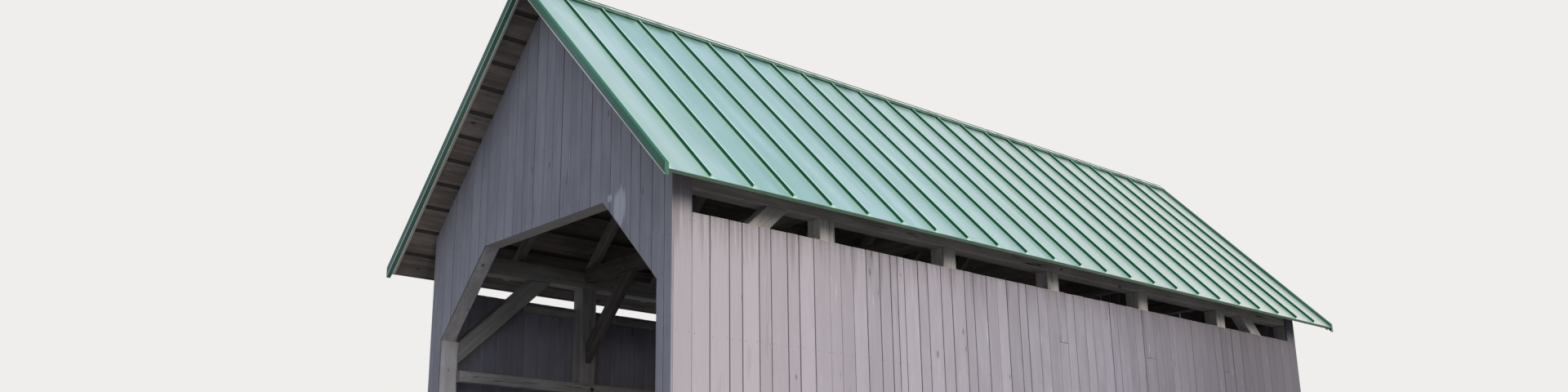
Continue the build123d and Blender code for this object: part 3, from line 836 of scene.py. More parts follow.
@dataclass
class FrameTimbers:
    """The bridge's frame: each CAD timber becomes a rough-sawn one with worn edges."""

    finish: Material
    inner_finish: Material
    roof_finish: Material
    batten_finish: Material
    lining_finish: Material
    bolt_finish: Material
    edge: float = 0.007
    edge_wear: float = 0.35
    wander: float = 0.0028
    cut_length: float = 0.5
    post_length: float = 0.25
    post_count: int = 7
    tie_width: float = 0.18
    seed: int = 6
    # How deep a fixing's foot sits in the wood, past the faces' small waves
    sunk: float = 0.004
    pieces: Sequence[str] = (
        "bed_timbers", "bottom_chord_left", "bottom_chord_right", "posts_left", "posts_right",
        "top_plate_left", "top_plate_right", "truss_braces_left", "truss_braces_right",
        "rail_left", "rail_right", "girts_left", "girts_right", "end_braces_left",
        "end_braces_right", "rafters_left", "rafters_right", "floor_beams",
    )
    inner_pieces: Sequence[str] = (
        "tie_beams", "knee_braces_left", "knee_braces_right", "portal_braces_near", "portal_braces_far",
    )

    def hew(self, node: str, finish: Material, edge: float, wander: float) -> None:
        """Makes the rough-sawn piece for one CAD node and hands it over.

        Args:
            node: The CAD node.
            finish: The piece's finish.
            edge: Width of its worn edges, in metres.
            wander: How far its faces leave the straight, in metres.
        """
        whole = bmesh.new()
        whole.from_mesh(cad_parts[node].data)
        # The triangles that share a plane become one face
        bmesh.ops.remove_doubles(whole, verts=whole.verts, dist=0.00005)
        bmesh.ops.dissolve_limit(
            whole, angle_limit=math.radians(0.5), verts=whole.verts, edges=whole.edges
        )
        whole.faces.index_update()
        piece = WoodPiece(f"hewn_{node}", seed=len(node) * 7 + sum(map(ord, node)) % 97)
        for member in islands(whole):
            longest = max(member.edges, key=lambda item: item.calc_length())
            along = (longest.verts[1].co - longest.verts[0].co).normalized()
            if along.dot(Vector((1.0, 1.1, 1.2))) < 0:
                along.negate()
            sides = [face for face in member.faces if abs(face.normal.dot(along)) < 0.05]
            broad = max(sides, key=lambda item: item.calc_area()).normal.copy()
            reach = [vert.co.dot(along) for vert in member.verts]
            # Cuts across the member, so that its faces can wave
            cuts = int((max(reach) - min(reach)) / self.cut_length)
            step = (max(reach) - min(reach)) / (cuts + 1)
            for number in range(1, cuts + 1):
                bmesh.ops.bisect_plane(
                    member, geom=[*member.verts, *member.edges, *member.faces],
                    plane_co=along * (min(reach) + number * step), plane_no=along,
                )
            for vert in member.verts:
                push = noise.noise_vector(vert.co * 1.7) * wander
                vert.co += push - along * push.dot(along)
            member.normal_update()
            across = along.cross(broad).normalized()
            piece.take(member, along, across, soften(member, edge), self.edge_wear)
        whole.free()
        hand_over(piece.finish(finish), node)

    def post_middles(self) -> list[float]:
        """Places of the posts along the bridge."""
        low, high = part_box("posts_right")
        step = (high.y - low.y - self.post_length) / (self.post_count - 1)
        return [low.y + self.post_length / 2 + number * step for number in range(self.post_count)]

    def drive_pegs(self) -> None:
        """Sets the pegs of the joints between posts, plates, chords, knees and ties."""
        pegs = Fixings("joint_pegs", self.finish, radius=0.017, height=0.009, sides=12, taper=0.86)
        plate_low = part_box("top_plate_right")[0]
        chord_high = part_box("bottom_chord_right")[1]
        knee_low, knee_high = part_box("knee_braces_right")
        # Height and shift along the bridge: two in the plate, two in the chord
        post_joints = (
            (plate_low.z + 0.07, -0.05), (plate_low.z + 0.15, 0.05), (chord_high.z - 0.09, 0.05),
            (chord_high.z - 0.2, -0.05),
        )
        # Across and up: the knee's foot in its post, then its head in the tie
        knee_joints = (
            (knee_high.x + 0.045, knee_low.z + 0.08, self.post_length / 2),
            (knee_high.x + 0.045, knee_low.z + 0.2, self.post_length / 2),
            (knee_low.x + 0.08, knee_high.z + 0.045, self.tie_width / 2),
            (knee_low.x + 0.19, knee_high.z + 0.045, self.tie_width / 2),
        )
        for side in (-1.0, 1.0):
            for number, middle in enumerate(self.post_middles()):
                for level, shift in post_joints:
                    spot = Vector((side * (plate_low.x + self.sunk), middle + shift, level))
                    pegs.mark(spot, Vector((-side, 0.0, 0.0)))
                if number in (0, self.post_count - 1):
                    continue
                for across, level, depth in knee_joints:
                    for way in (-1.0, 1.0):
                        spot = Vector((side * across, middle + way * (depth - self.sunk), level))
                        pegs.mark(spot, Vector((0.0, way, 0.0)))
        pegs.drive()

    def drive_bolts(self) -> None:
        """Sets the bolts that hold the rails to the posts and the braces behind both portals."""
        washers = Fixings("bolt_washers", self.bolt_finish, radius=0.032, height=0.009, sides=16, taper=0.94)
        heads = Fixings("bolt_heads", self.bolt_finish, radius=0.016, height=0.021, sides=6, taper=0.94)
        rail_low, rail_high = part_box("rail_right")
        along = Vector((-CLIP_RUN, 0.0, CLIP_RISE)).normalized()
        above = Vector((along.z, 0.0, -along.x))
        for side in (-1.0, 1.0):
            spots = []
            for middle in self.post_middles()[1:-1]:
                spot = Vector((side * (rail_low.x + self.sunk), middle, (rail_low.z + rail_high.z) / 2))
                spots.append((spot, Vector((-side, 0.0, 0.0))))
            for node, way in (("portal_braces_near", 1.0), ("portal_braces_far", -1.0)):
                low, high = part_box(node)
                face = (high.y if way > 0 else low.y) - way * self.sunk
                for reach in (0.21, 1.34):
                    spot = Vector((high.x, face, low.z)) + above * 0.075 + along * reach
                    spots.append((Vector((side * spot.x, spot.y, spot.z)), Vector((0.0, way, 0.0))))
            for spot, facing in spots:
                washers.mark(spot, facing)
                heads.mark(spot, facing)
        washers.drive()
        heads.drive()

    def build(self) -> None:
        """Builds every timber, then the pegs and bolts."""
        # The faces' waves come out the same in every run
        noise.seed_set(self.seed)
        # The last two numbers are the worn edge's width and the wander, in metres
        for nodes, finish, edge, wander in (
            (self.pieces, self.finish, self.edge, self.wander),
            (self.inner_pieces, self.inner_finish, self.edge, self.wander),
            (("roof_boards_left", "roof_boards_right"), self.roof_finish, 0.003, 0.001),
            (("rake_batten_near", "rake_batten_far"), self.batten_finish, 0.003, 0.001),
            (("portal_lining_near", "portal_lining_far"), self.lining_finish, 0.003, 0.0008),
        ):
            for node in nodes:
                self.hew(node, finish, edge, wander)
        self.drive_pegs()
        self.drive_bolts()


def closed_pairs(outline: list[Point]) -> Iterable[tuple[Point, Point]]:
    """Pairs each corner of an outline with the next one."""
    return zip(outline, outline[1:] + outline[:1])


def clip_strip(outline: list[Point], low: float, high: float) -> list[Point]:
    """Keeps the part of an outline between two upright lines.

    Args:
        outline: Corners of the outline.
        low: The left line.
        high: The right line.

    Returns:
        Corners of the part, or an empty list.
    """
    for line, sign in ((low, 1.0), (high, -1.0)):
        kept: list[Point] = []
        for here, after in closed_pairs(outline):
            inside = (here[0] - line) * sign >= 0
            if inside:
                kept.append(here)
            if inside != ((after[0] - line) * sign >= 0):
                share = (line - here[0]) / (after[0] - here[0])
                kept.append((line, here[1] + share * (after[1] - here[1])))
        outline = kept
    # Corners that fall together are one
    least = 0.002
    corners: list[Point] = []
    for point in outline:
        if not corners or math.dist(point, corners[-1]) > least:
            corners.append(point)
    if len(corners) > 1 and math.dist(corners[0], corners[-1]) <= least:
        corners.pop()
    return corners if len(corners) > 2 else []


@dataclass
class Boarding:
    """Vertical boards on the side walls, the corners and the gables, each one laid by itself."""

    finish: Material
    gable_finish: Material
    nail_finish: Material
    thickness: float = 0.025
    wall_half_width: float = 2.65
    wall_end: float = 6.88
    bottom: float = 1.6
    corner_board: float = 0.28
    edge: float = 0.0035
    edge_wear: float = 0.6
    # Gaps beside open and tight seams; the sunny wall has shrunk more than the shaded one
    open_gap: float = 0.006
    shaded_gap: float = 0.003
    tight_gap: float = 0.0018
    gable_gaps: Sequence[float] = (0.0015, 0.004, 0.009)
    # How far the side boards' heads, feet and joints and all boards' faces are out of line
    uneven_head: float = 0.005
    uneven_foot: float = 0.02
    uneven_joint: float = 0.02
    uneven_face: float = 0.0016
    # A nail's distance from the board's edge, its spread in height and the narrowest nailed board
    nail_inset: float = 0.032
    nail_spread: float = 0.012
    least_nailed: float = 0.09
    joint_height: float = 5.05
    # Seams along a side wall, from its near corner, and whether the joint there stands open
    open_seams: Sequence[float] = (
        0.535, 0.818, 1.008, 1.262, 1.447, 1.705, 1.891, 2.133, 3.023, 3.26, 3.457, 3.583, 3.71,
        3.968, 4.153, 4.412, 4.62, 4.881, 5.063, 5.333, 5.765, 6.023, 6.194, 6.45, 7.288, 8.177,
        9.013, 11.261, 11.595, 11.883,
    )
    tight_seams: Sequence[float] = (
        2.39, 2.58, 2.79, 5.55, 6.66, 6.9, 7.09, 7.54, 7.73, 7.94, 8.36, 8.61, 8.8, 9.06, 9.31,
        9.5, 9.75, 9.94, 10.19, 10.38, 10.62, 10.81, 11.05, 11.42, 12.07, 12.32, 12.51, 12.76,
        12.95, 13.2,
    )
    jointed: Sequence[float] = (6.9, 9.06, 11.261)
    gable_seams: Sequence[float] = (
        -2.52, -2.36, -2.15, -1.96, -1.71, -1.5, -1.31, -1.06, -0.87, -0.66, -0.45, -0.207, 0.024,
        0.217, 0.408, 0.618, 0.85, 1.06, 1.265, 1.467, 1.67, 1.874, 2.057, 2.282, 2.509,
    )
    nail_levels: Sequence[float] = (1.78, 2.2, 3.35, 4.44, 5.69)
    gable_nail_levels: Sequence[float] = (1.85, 2.6, 3.6, 4.6, 5.5, 6.25, 7.1, 7.9, 8.6)
    nails: Fixings = field(init=False)

    def __post_init__(self) -> None:
        """Gets the nails ready."""
        self.nails = Fixings("siding_nails", self.nail_finish, radius=0.005, height=0.002)

    def lay(
        self, piece: WoodPiece, outline: list[Point], facing: Direction, depth: float, levels: Iterable[float]
    ) -> None:
        """Lays one board and marks its nails.

        Args:
            piece: The piece that the board belongs to.
            outline: Corners of the board's face, across and up.
            facing: The way its face looks.
            depth: Distance of that face from the middle of the bridge.
            levels: Heights of its nails.
        """
        outward = Vector(facing.value)
        side = UP.cross(outward)
        swing = piece.dice.uniform(-self.uneven_face, self.uneven_face)
        shape = bmesh.new()
        front, back = (
            [shape.verts.new(side * u + outward * (level + swing) + UP * v) for u, v in outline]
            for level in (depth, depth - self.thickness)
        )
        if sum(a[0] * b[1] - b[0] * a[1] for a, b in closed_pairs(outline)) <= 0:
            front.reverse()
            back.reverse()
        shape.faces.new(front)
        shape.faces.new(back[::-1])
        for number, corner in enumerate(front):
            after = (number + 1) % len(front)
            shape.faces.new([corner, back[number], back[after], front[after]])
        shape.normal_update()
        worn = soften(shape, self.edge)
        # Pale bare wood on the upward worn edges only: real wear, and a painted highlight along the boards'
        # tops
        worn_lit_tops = {face.index for face in shape.faces if face.index in worn and face.normal.z > 0.3}
        piece.take(shape, UP, side, worn_lit_tops, self.edge_wear)
        low = min(u for u, _ in outline)
        high = max(u for u, _ in outline)
        # A strip of board has no nails of its own
        if high - low < self.least_nailed:
            return
        for level in levels:
            for u in (low + self.nail_inset, high - self.nail_inset):
                v = level + piece.dice.uniform(-self.nail_spread, self.nail_spread)
                if self.inside(outline, u, v):
                    self.nails.mark(side * u + outward * (depth + swing) + UP * v, outward)

    @staticmethod
    def inside(outline: list[Point], u: float, v: float) -> bool:
        """Tells whether a nail falls well inside a board.

        Args:
            outline: Corners of the board's face.
            u: The nail's place across.
            v: The nail's height.

        Returns:
            True where the nail is on the board.
        """
        margin = 0.03
        for level in (v - margin, v + margin):
            crossings = 0
            for here, after in closed_pairs(outline):
                if (here[0] > u) != (after[0] > u):
                    share = (u - here[0]) / (after[0] - here[0])
                    crossings += here[1] + share * (after[1] - here[1]) > level
            if crossings % 2 == 0:
                return False
        return True

    def side_wall(self, node: str, facing: Direction, seed: int) -> None:
        """Lays the boards of one side wall.

        Args:
            node: The CAD node that it replaces.
            facing: The way the wall looks.
            seed: Seed of the boards' small differences.
        """
        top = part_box(node)[1].z
        piece = WoodPiece(f"boarded_{node}", seed)
        gap = self.open_gap if facing is Direction.RIGHT else self.shaded_gap
        seams = [(at, gap) for at in self.open_seams] + [(at, self.tight_gap) for at in self.tight_seams]
        seams.sort()
        edges = [(self.corner_board, 0.003), *seams, (2 * self.wall_end - self.corner_board, 0.003)]
        for (start, gap), (stop, next_gap) in pairwise(edges):
            # Seen from outside, the right wall runs away to the right and the left wall comes back
            low = start + gap - self.wall_end
            high = stop - next_gap - self.wall_end
            head = top - piece.dice.uniform(0.0, self.uneven_head)
            foot = self.bottom + piece.dice.uniform(0.0, self.uneven_foot)
            slant = piece.dice.uniform(-0.001, 0.001)
            parts = [(foot, head, slant)]
            if start in self.jointed:
                joint = self.joint_height + piece.dice.uniform(-self.uneven_joint, self.uneven_joint)
                parts = [(foot, joint - 0.003, 0.0), (joint + 0.003, head, slant)]
            for low_z, high_z, lean in parts:
                rise = high_z - abs(lean)
                outline = [(low, low_z), (high, low_z), (high, rise + lean), (low, rise - lean)]
                self.lay(piece, outline, facing, self.wall_half_width, self.nail_levels)
        hand_over(piece.finish(self.finish), node)

    def corners(self) -> None:
        """Lays the four corner boards."""
        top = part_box("corner_boards")[1].z
        piece = WoodPiece("sawn_corner_boards", 41)
        reach = (self.wall_end - self.thickness - 0.0005, self.wall_end - self.corner_board)
        for facing in (Direction.RIGHT, Direction.LEFT):
            for end in (-1, 1):
                low, high = sorted((end * reach[0], end * reach[1]))
                outline = [(low, self.bottom), (high, self.bottom), (high, top), (low, top)]
                self.lay(piece, outline, facing, self.wall_half_width, self.nail_levels)
        hand_over(piece.finish(self.finish), "corner_boards")

    def gable(self, node: str, facing: Direction, seed: int) -> None:
        """Lays the boards of one gable, cut to the roof and round the portal.

        Args:
            node: The CAD node that it replaces.
            facing: The way the gable looks.
            seed: Seed of the boards' small differences.
        """
        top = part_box(node)[1].z
        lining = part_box("portal_lining_far")[1]
        wide, half, head = self.wall_half_width, lining.x - self.thickness, lining.z - self.thickness
        edge_z = top - wide * ROOF_RISE / ROOF_RUN
        outline = [
            (wide, self.bottom), (wide, edge_z), (0.0, top), (-wide, edge_z), (-wide, self.bottom),
            (-half, self.bottom), (-half, head - CLIP_RISE), (-half + CLIP_RUN, head),
            (half - CLIP_RUN, head), (half, head - CLIP_RISE), (half, self.bottom),
        ]
        piece = WoodPiece(f"boarded_{node}", seed)
        for start, stop in pairwise([-wide, *self.gable_seams, wide]):
            gap = piece.dice.choice(self.gable_gaps)
            board = clip_strip(outline, start + gap, stop - 0.003)
            if board:
                self.lay(piece, board, facing, self.wall_end, self.gable_nail_levels)
        hand_over(piece.finish(self.gable_finish), node)

    def build(self) -> None:
        """Lays every board and drives its nails."""
        self.side_wall("side_wall_right", Direction.RIGHT, 11)
        self.side_wall("side_wall_left", Direction.LEFT, 23)
        self.corners()
        self.gable("gable_near", Direction.NEAR, 31)
        self.gable("gable_far", Direction.FAR, 37)
        self.nails.drive()


@dataclass
class SeamedRoof:
    """Standing-seam roof: rippled pans between folded seams, on both slopes."""

    sheet: Material
    trim: Material
    rake_face: Material
    cap: Material
    seam: Material
    crest_highlight: Material
    drip: Material
    back: Material
    ridge_height: float = 9.29
    ridge_gap: float = 0.04
    panel_width: float = 0.61
    panel_count: int = 24
    sheet_thickness: float = 0.004
    seam_width: float = 0.024
    seam_height: float = 0.04
    seam_setback: float = 0.025
    half_length: float = 7.32
    ripple: float = 0.0018
    # Points of a slope's sheet, down the slope and along the bridge
    sheet_grid: tuple[int, int] = (37, 241)
    # The web's share of a seam's width and how far it reaches into the sheet
    web_share: float = 0.62
    web_sunk: float = 0.003
    # The folded head's share of a seam's height, and its rounding
    head_share: float = 0.36
    head_rounding: float = 0.0035
    screw_start: float = 0.12
    screw_pitch: float = 0.455
    screw_drop: float = 0.004
    screw_sunk: float = 0.0006

    def drive_screws(self) -> None:
        """Sets the painted hex screws that hold both rake trims."""
        screws = Fixings("trim_screws", self.trim, radius=0.0065, height=0.0055, sides=6, taper=0.9)
        length = math.hypot(ROOF_RISE, ROOF_RUN)
        for node, way in (("rake_trim_near", -1.0), ("rake_trim_far", 1.0)):
            low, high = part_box(node)
            face = (low.y if way < 0 else high.y) - way * self.screw_sunk
            for number in range(int(length / self.screw_pitch)):
                share = (self.screw_start + number * self.screw_pitch) / length
                level = self.ridge_height - share * ROOF_RISE - self.screw_drop
                for side in (-1.0, 1.0):
                    screws.mark(Vector((side * share * ROOF_RUN, face, level)), Vector((0.0, way, 0.0)))
        screws.drive()

    def slope(self) -> GrownPiece:
        """Builds the tree of one slope, with x down the slope and y along the bridge.

        Returns:
            The slope, ready to be made.
        """
        slope = GrownPiece("standing_seam_slope", {
            "Slope Start": self.ridge_gap, "Slope Length": math.hypot(ROOF_RISE, ROOF_RUN),
            "Half Length": self.half_length, "Panel Width": self.panel_width,
            "Panel Count": self.panel_count, "Sheet Thickness": self.sheet_thickness,
            "Seam Width": self.seam_width, "Seam Height": self.seam_height,
            "Seam Setback": self.seam_setback, "Ripple": self.ripple, "Finish": self.sheet,
        })
        net, size = slope.net, slope.sizes
        start, length, thick = size["Slope Start"], size["Slope Length"], size["Sheet Thickness"]
        pitch, count, high = size["Panel Width"], size["Panel Count"], size["Seam Height"]

        # Pans: one thin sheet whose faces ripple between the seams
        pan_length = net.add("ShaderNodeMath", (length, start), operation="SUBTRACT")
        pan_width = net.add("ShaderNodeMath", (size["Half Length"], 2.0), operation="MULTIPLY")
        pan_size = net.add("ShaderNodeCombineXYZ", (pan_length, pan_width, thick))
        pans = net.add(
            "GeometryNodeMeshCube",
            {
                "Size": pan_size, "Vertices X": self.sheet_grid[0], "Vertices Y": self.sheet_grid[1],
                "Vertices Z": 2,
            },
        )
        middle = net.add("ShaderNodeMath", (start, length), operation="ADD")
        middle = net.add("ShaderNodeMath", (middle, 2.0), operation="DIVIDE")
        half_down = net.add("ShaderNodeMath", (thick, -0.5), operation="MULTIPLY")
        place = net.add("ShaderNodeCombineXYZ", (middle, None, half_down))
        pans = net.add("GeometryNodeTransform", {"Geometry": pans, "Translation": place})
        position = net.add("GeometryNodeInputPosition")
        along = net.add("ShaderNodeSeparateXYZ", (position,)).outputs["Y"]
        half_roof = net.add("ShaderNodeMath", (pitch, count), operation="MULTIPLY")
        half_roof = net.add("ShaderNodeMath", (half_roof, 0.5), operation="MULTIPLY")
        off_seam = net.add("ShaderNodeMath", (along, half_roof), operation="ADD")
        off_seam = net.add("ShaderNodeMath", (off_seam, pitch), operation="DIVIDE")
        off_seam = net.add("ShaderNodeMath", (off_seam, 0.5), operation="PINGPONG")
        calm = net.add("ShaderNodeMapRange", (off_seam, 0.03, 0.3), interpolation_type="SMOOTHSTEP")
        drawn = net.add("ShaderNodeVectorMath", (position, (1.1, 2.2, 0.0)), operation="MULTIPLY")
        lift = net.add("ShaderNodeTexNoise", {"Vector": drawn, "Scale": 1.0, "Detail": 1.5})
        lift = net.add("ShaderNodeMath", (lift, 0.62), operation="SUBTRACT")
        lift = net.add("ShaderNodeMath", (lift, calm), operation="MULTIPLY")
        lift = net.add("ShaderNodeMath", (lift, size["Ripple"]), operation="MULTIPLY")
        lift = net.add("ShaderNodeCombineXYZ", (None, None, lift))
        pans = net.add("GeometryNodeSetPosition", {"Geometry": pans, "Offset": lift})

        # Seams: a narrow web with a folded head, square at its lower end
        stop = net.add("ShaderNodeMath", (length, size["Seam Setback"]), operation="SUBTRACT")
        ends = {name: net.add("ShaderNodeCombineXYZ", (x,)) for name, x in (("Start", start), ("End", stop))}
        path = net.add("GeometryNodeCurvePrimitiveLine", ends)
        path = net.add("GeometryNodeResampleCurve", {"Curve": path, "Count": 28})
        path = net.add("GeometryNodeSetCurveNormal", {"Curve": path}, mode="Z_UP")
        wide = net.add("ShaderNodeMath", (size["Seam Width"], self.web_share), operation="MULTIPLY")
        web = net.add("GeometryNodeCurvePrimitiveQuadrilateral", {"Width": wide, "Height": high})
        # The profile's y points into the roof, so what stands on it has a negative y
        rise = net.add("ShaderNodeMath", (high, -0.5), operation="MULTIPLY")
        rise = net.add("ShaderNodeMath", (rise, self.web_sunk), operation="ADD")
        rise = net.add("ShaderNodeCombineXYZ", (None, rise))
        web = net.add("GeometryNodeTransform", {"Geometry": web, "Translation": rise})
        tall = net.add("ShaderNodeMath", (high, self.head_share), operation="MULTIPLY")
        fold = net.add(
            "GeometryNodeCurvePrimitiveQuadrilateral", {"Width": size["Seam Width"], "Height": tall}
        )
        fold = net.add(
            "GeometryNodeFilletCurve", {"Curve": fold, "Count": 3, "Radius": self.head_rounding}, mode="POLY"
        )
        rise = net.add("ShaderNodeMath", (high, self.head_share / 2 - 1), operation="MULTIPLY")
        rise = net.add("ShaderNodeCombineXYZ", (None, rise))
        fold = net.add("GeometryNodeTransform", {"Geometry": fold, "Translation": rise})
        profile = net.add("GeometryNodeJoinGeometry", {"Geometry": [web, fold]})
        seam = net.add(
            "GeometryNodeCurveToMesh", {"Curve": path, "Profile Curve": profile, "Fill Caps": True}
        )
        first = net.add("ShaderNodeMath", (pitch, half_roof), operation="SUBTRACT")
        row = net.add("GeometryNodeMeshLine", {
            "Count": net.add("ShaderNodeMath", (count, 1.0), operation="SUBTRACT"),
            "Start Location": net.add("ShaderNodeCombineXYZ", (None, first)),
            "Offset": net.add("ShaderNodeCombineXYZ", (None, pitch)),
        })
        seams = net.add("GeometryNodeInstanceOnPoints", {"Points": row, "Instance": seam})
        both = net.add("GeometryNodeJoinGeometry", {"Geometry": [seams, pans]})
        slope.close(net.add("GeometryNodeRealizeInstances", {"Geometry": both}))
        return slope

    def build(self) -> None:
        """Builds both slopes, dresses the cap, trims and drips and drives the screws."""
        slope = self.slope()
        length = math.hypot(ROOF_RISE, ROOF_RUN)
        down = Vector((ROOF_RUN, 0.0, -ROOF_RISE)) / length
        out = Vector((ROOF_RISE, 0.0, ROOF_RUN)) / length
        place = Matrix((
            (down.x, 0.0, out.x, 0.0), (0.0, 1.0, 0.0, 0.0), (down.z, 0.0, out.z, self.ridge_height),
            (0.0, 0.0, 0.0, 1.0),
        ))
        for side, turn in (("right", 0.0), ("left", math.pi)):
            piece = slope.make(f"seamed_slope_{side}")
            mesh = piece.data
            for material in (self.seam, self.back, self.crest_highlight):
                mesh.materials.append(material)
            last = len(mesh.materials) - 1
            # The seams' sides take the painted shade, the sheet's back its dark primer and the folded heads
            # the painted highlight
            for polygon in mesh.polygons:
                if abs(polygon.normal.y) > 0.35:
                    polygon.material_index = last - 2
                elif polygon.normal.z < -0.5:
                    polygon.material_index = last - 1
                elif polygon.center.z > 0.8 * self.seam_height:
                    polygon.material_index = last
            mesh.transform(Matrix.Rotation(turn, 4, "Z") @ place)
            mesh.shade_smooth()
            mesh.set_sharp_from_angle(angle=math.radians(20.0))
            hand_over(piece, f"roof_panels_{side}")
        # Only the cap's top takes the painted shade, and the rake trims have their own top and face
        for polygon in dress("ridge_cap", self.cap, self.trim).polygons:
            if polygon.normal.z < 0.4:
                polygon.material_index = 1
        for node in ("rake_trim_near", "rake_trim_far"):
            for polygon in dress(node, self.trim, self.seam, self.rake_face).polygons:
                # The trims' upward faces take the seams' painted shade
                if polygon.normal.z > 0.4:
                    polygon.material_index = 1
                elif abs(polygon.normal.y) > 0.9:
                    polygon.material_index = 2
        for node in ("eave_drip_left", "eave_drip_right"):
            dress(node, self.drip)
        self.drive_screws()


@dataclass
class PlankDeck:
    """Floor planks laid across the road, a little uneven, on the floor beams."""

    finish: Material
    plank_width: float = 0.275
    gap: float = 0.006
    thickness: float = 0.1
    edge: float = 0.005
    side_gap: float = 0.007
    end_gap: float = 0.005
    # How far a plank may lie off its place and out of line: along it, across it and up
    shift: Triple = (0.006, 0.0012, 0.004)
    tilt: Triple = (0.004, 0.0006, 0.0006)
    seed: int = 8

    def planks(self) -> GrownPiece:
        """Builds the tree of the row of planks.

        Returns:
            The planks, ready to be made.
        """
        low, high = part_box("deck")
        count = round((high.y - low.y) / self.plank_width)
        planks = GrownPiece("deck_planks", {
            "Plank Length": high.x - low.x - 2 * self.side_gap,
            "Plank Width": (high.y - low.y - 2 * self.end_gap) / count,
            "Plank Gap": self.gap, "Plank Thickness": self.thickness, "Plank Count": count,
            "Top": high.z, "Seed": self.seed, "Finish": self.finish,
        })
        net, size = planks.net, planks.sizes
        pitch, thick, seed = size["Plank Width"], size["Plank Thickness"], size["Seed"]
        face = net.add("ShaderNodeMath", (pitch, size["Plank Gap"]), operation="SUBTRACT")
        plank = net.add("GeometryNodeMeshCube", {
            "Size": net.add("ShaderNodeCombineXYZ", (size["Plank Length"], face, thick)),
            "Vertices X": 9, "Vertices Y": 2, "Vertices Z": 2,
        })
        plank = net.add(
            "GeometryNodeStoreNamedAttribute",
            {"Geometry": plank, "Name": "grain", "Value": net.add("GeometryNodeInputPosition")},
            data_type="FLOAT_VECTOR", domain="POINT",
        )
        level = net.add("ShaderNodeMath", (thick, -0.5), operation="MULTIPLY")
        level = net.add("ShaderNodeMath", (size["Top"], level), operation="ADD")
        first = net.add("ShaderNodeMath", (size["Plank Count"], 1.0), operation="SUBTRACT")
        first = net.add("ShaderNodeMath", (first, pitch), operation="MULTIPLY")
        first = net.add("ShaderNodeMath", (first, -0.5), operation="MULTIPLY")
        row = net.add("GeometryNodeMeshLine", {
            "Count": size["Plank Count"],
            "Start Location": net.add("ShaderNodeCombineXYZ", (None, first, level)),
            "Offset": net.add("ShaderNodeCombineXYZ", (None, pitch)),
        })
        # A plank may lie a little low, but none stands above the road
        shift, tilt = (
            net.add(
                "FunctionNodeRandomValue", (tuple(-part for part in reach), most, None, seed),
                data_type="FLOAT_VECTOR",
            )
            for reach, most in ((self.shift, (*self.shift[:2], 0.0)), (self.tilt, self.tilt))
        )
        row = net.add("GeometryNodeSetPosition", {"Geometry": row, "Offset": shift})
        laid = net.add("GeometryNodeInstanceOnPoints", {"Points": row, "Instance": plank, "Rotation": tilt})
        tone = net.add("FunctionNodeRandomValue", (0.0, 1.0, None, seed), data_type="FLOAT")
        laid = net.add(
            "GeometryNodeStoreNamedAttribute", {"Geometry": laid, "Name": "tone", "Value": tone},
            data_type="FLOAT", domain="INSTANCE",
        )
        planks.close(net.add("GeometryNodeRealizeInstances", {"Geometry": laid}))
        return planks

    def build(self) -> None:
        """Lays the planks and wears their edges."""
        piece = self.planks().make("planked_deck")
        shape = bmesh.new()
        shape.from_mesh(piece.data)
        sharp = [edge for edge in shape.edges if edge.calc_face_angle(0.0) > 0.5]
        bmesh.ops.bevel(
            shape, geom=sharp, offset=self.edge, segments=1, affect="EDGES", clamp_overlap=True
        )
        shape.to_mesh(piece.data)
        shape.free()
        hand_over(piece, "deck")


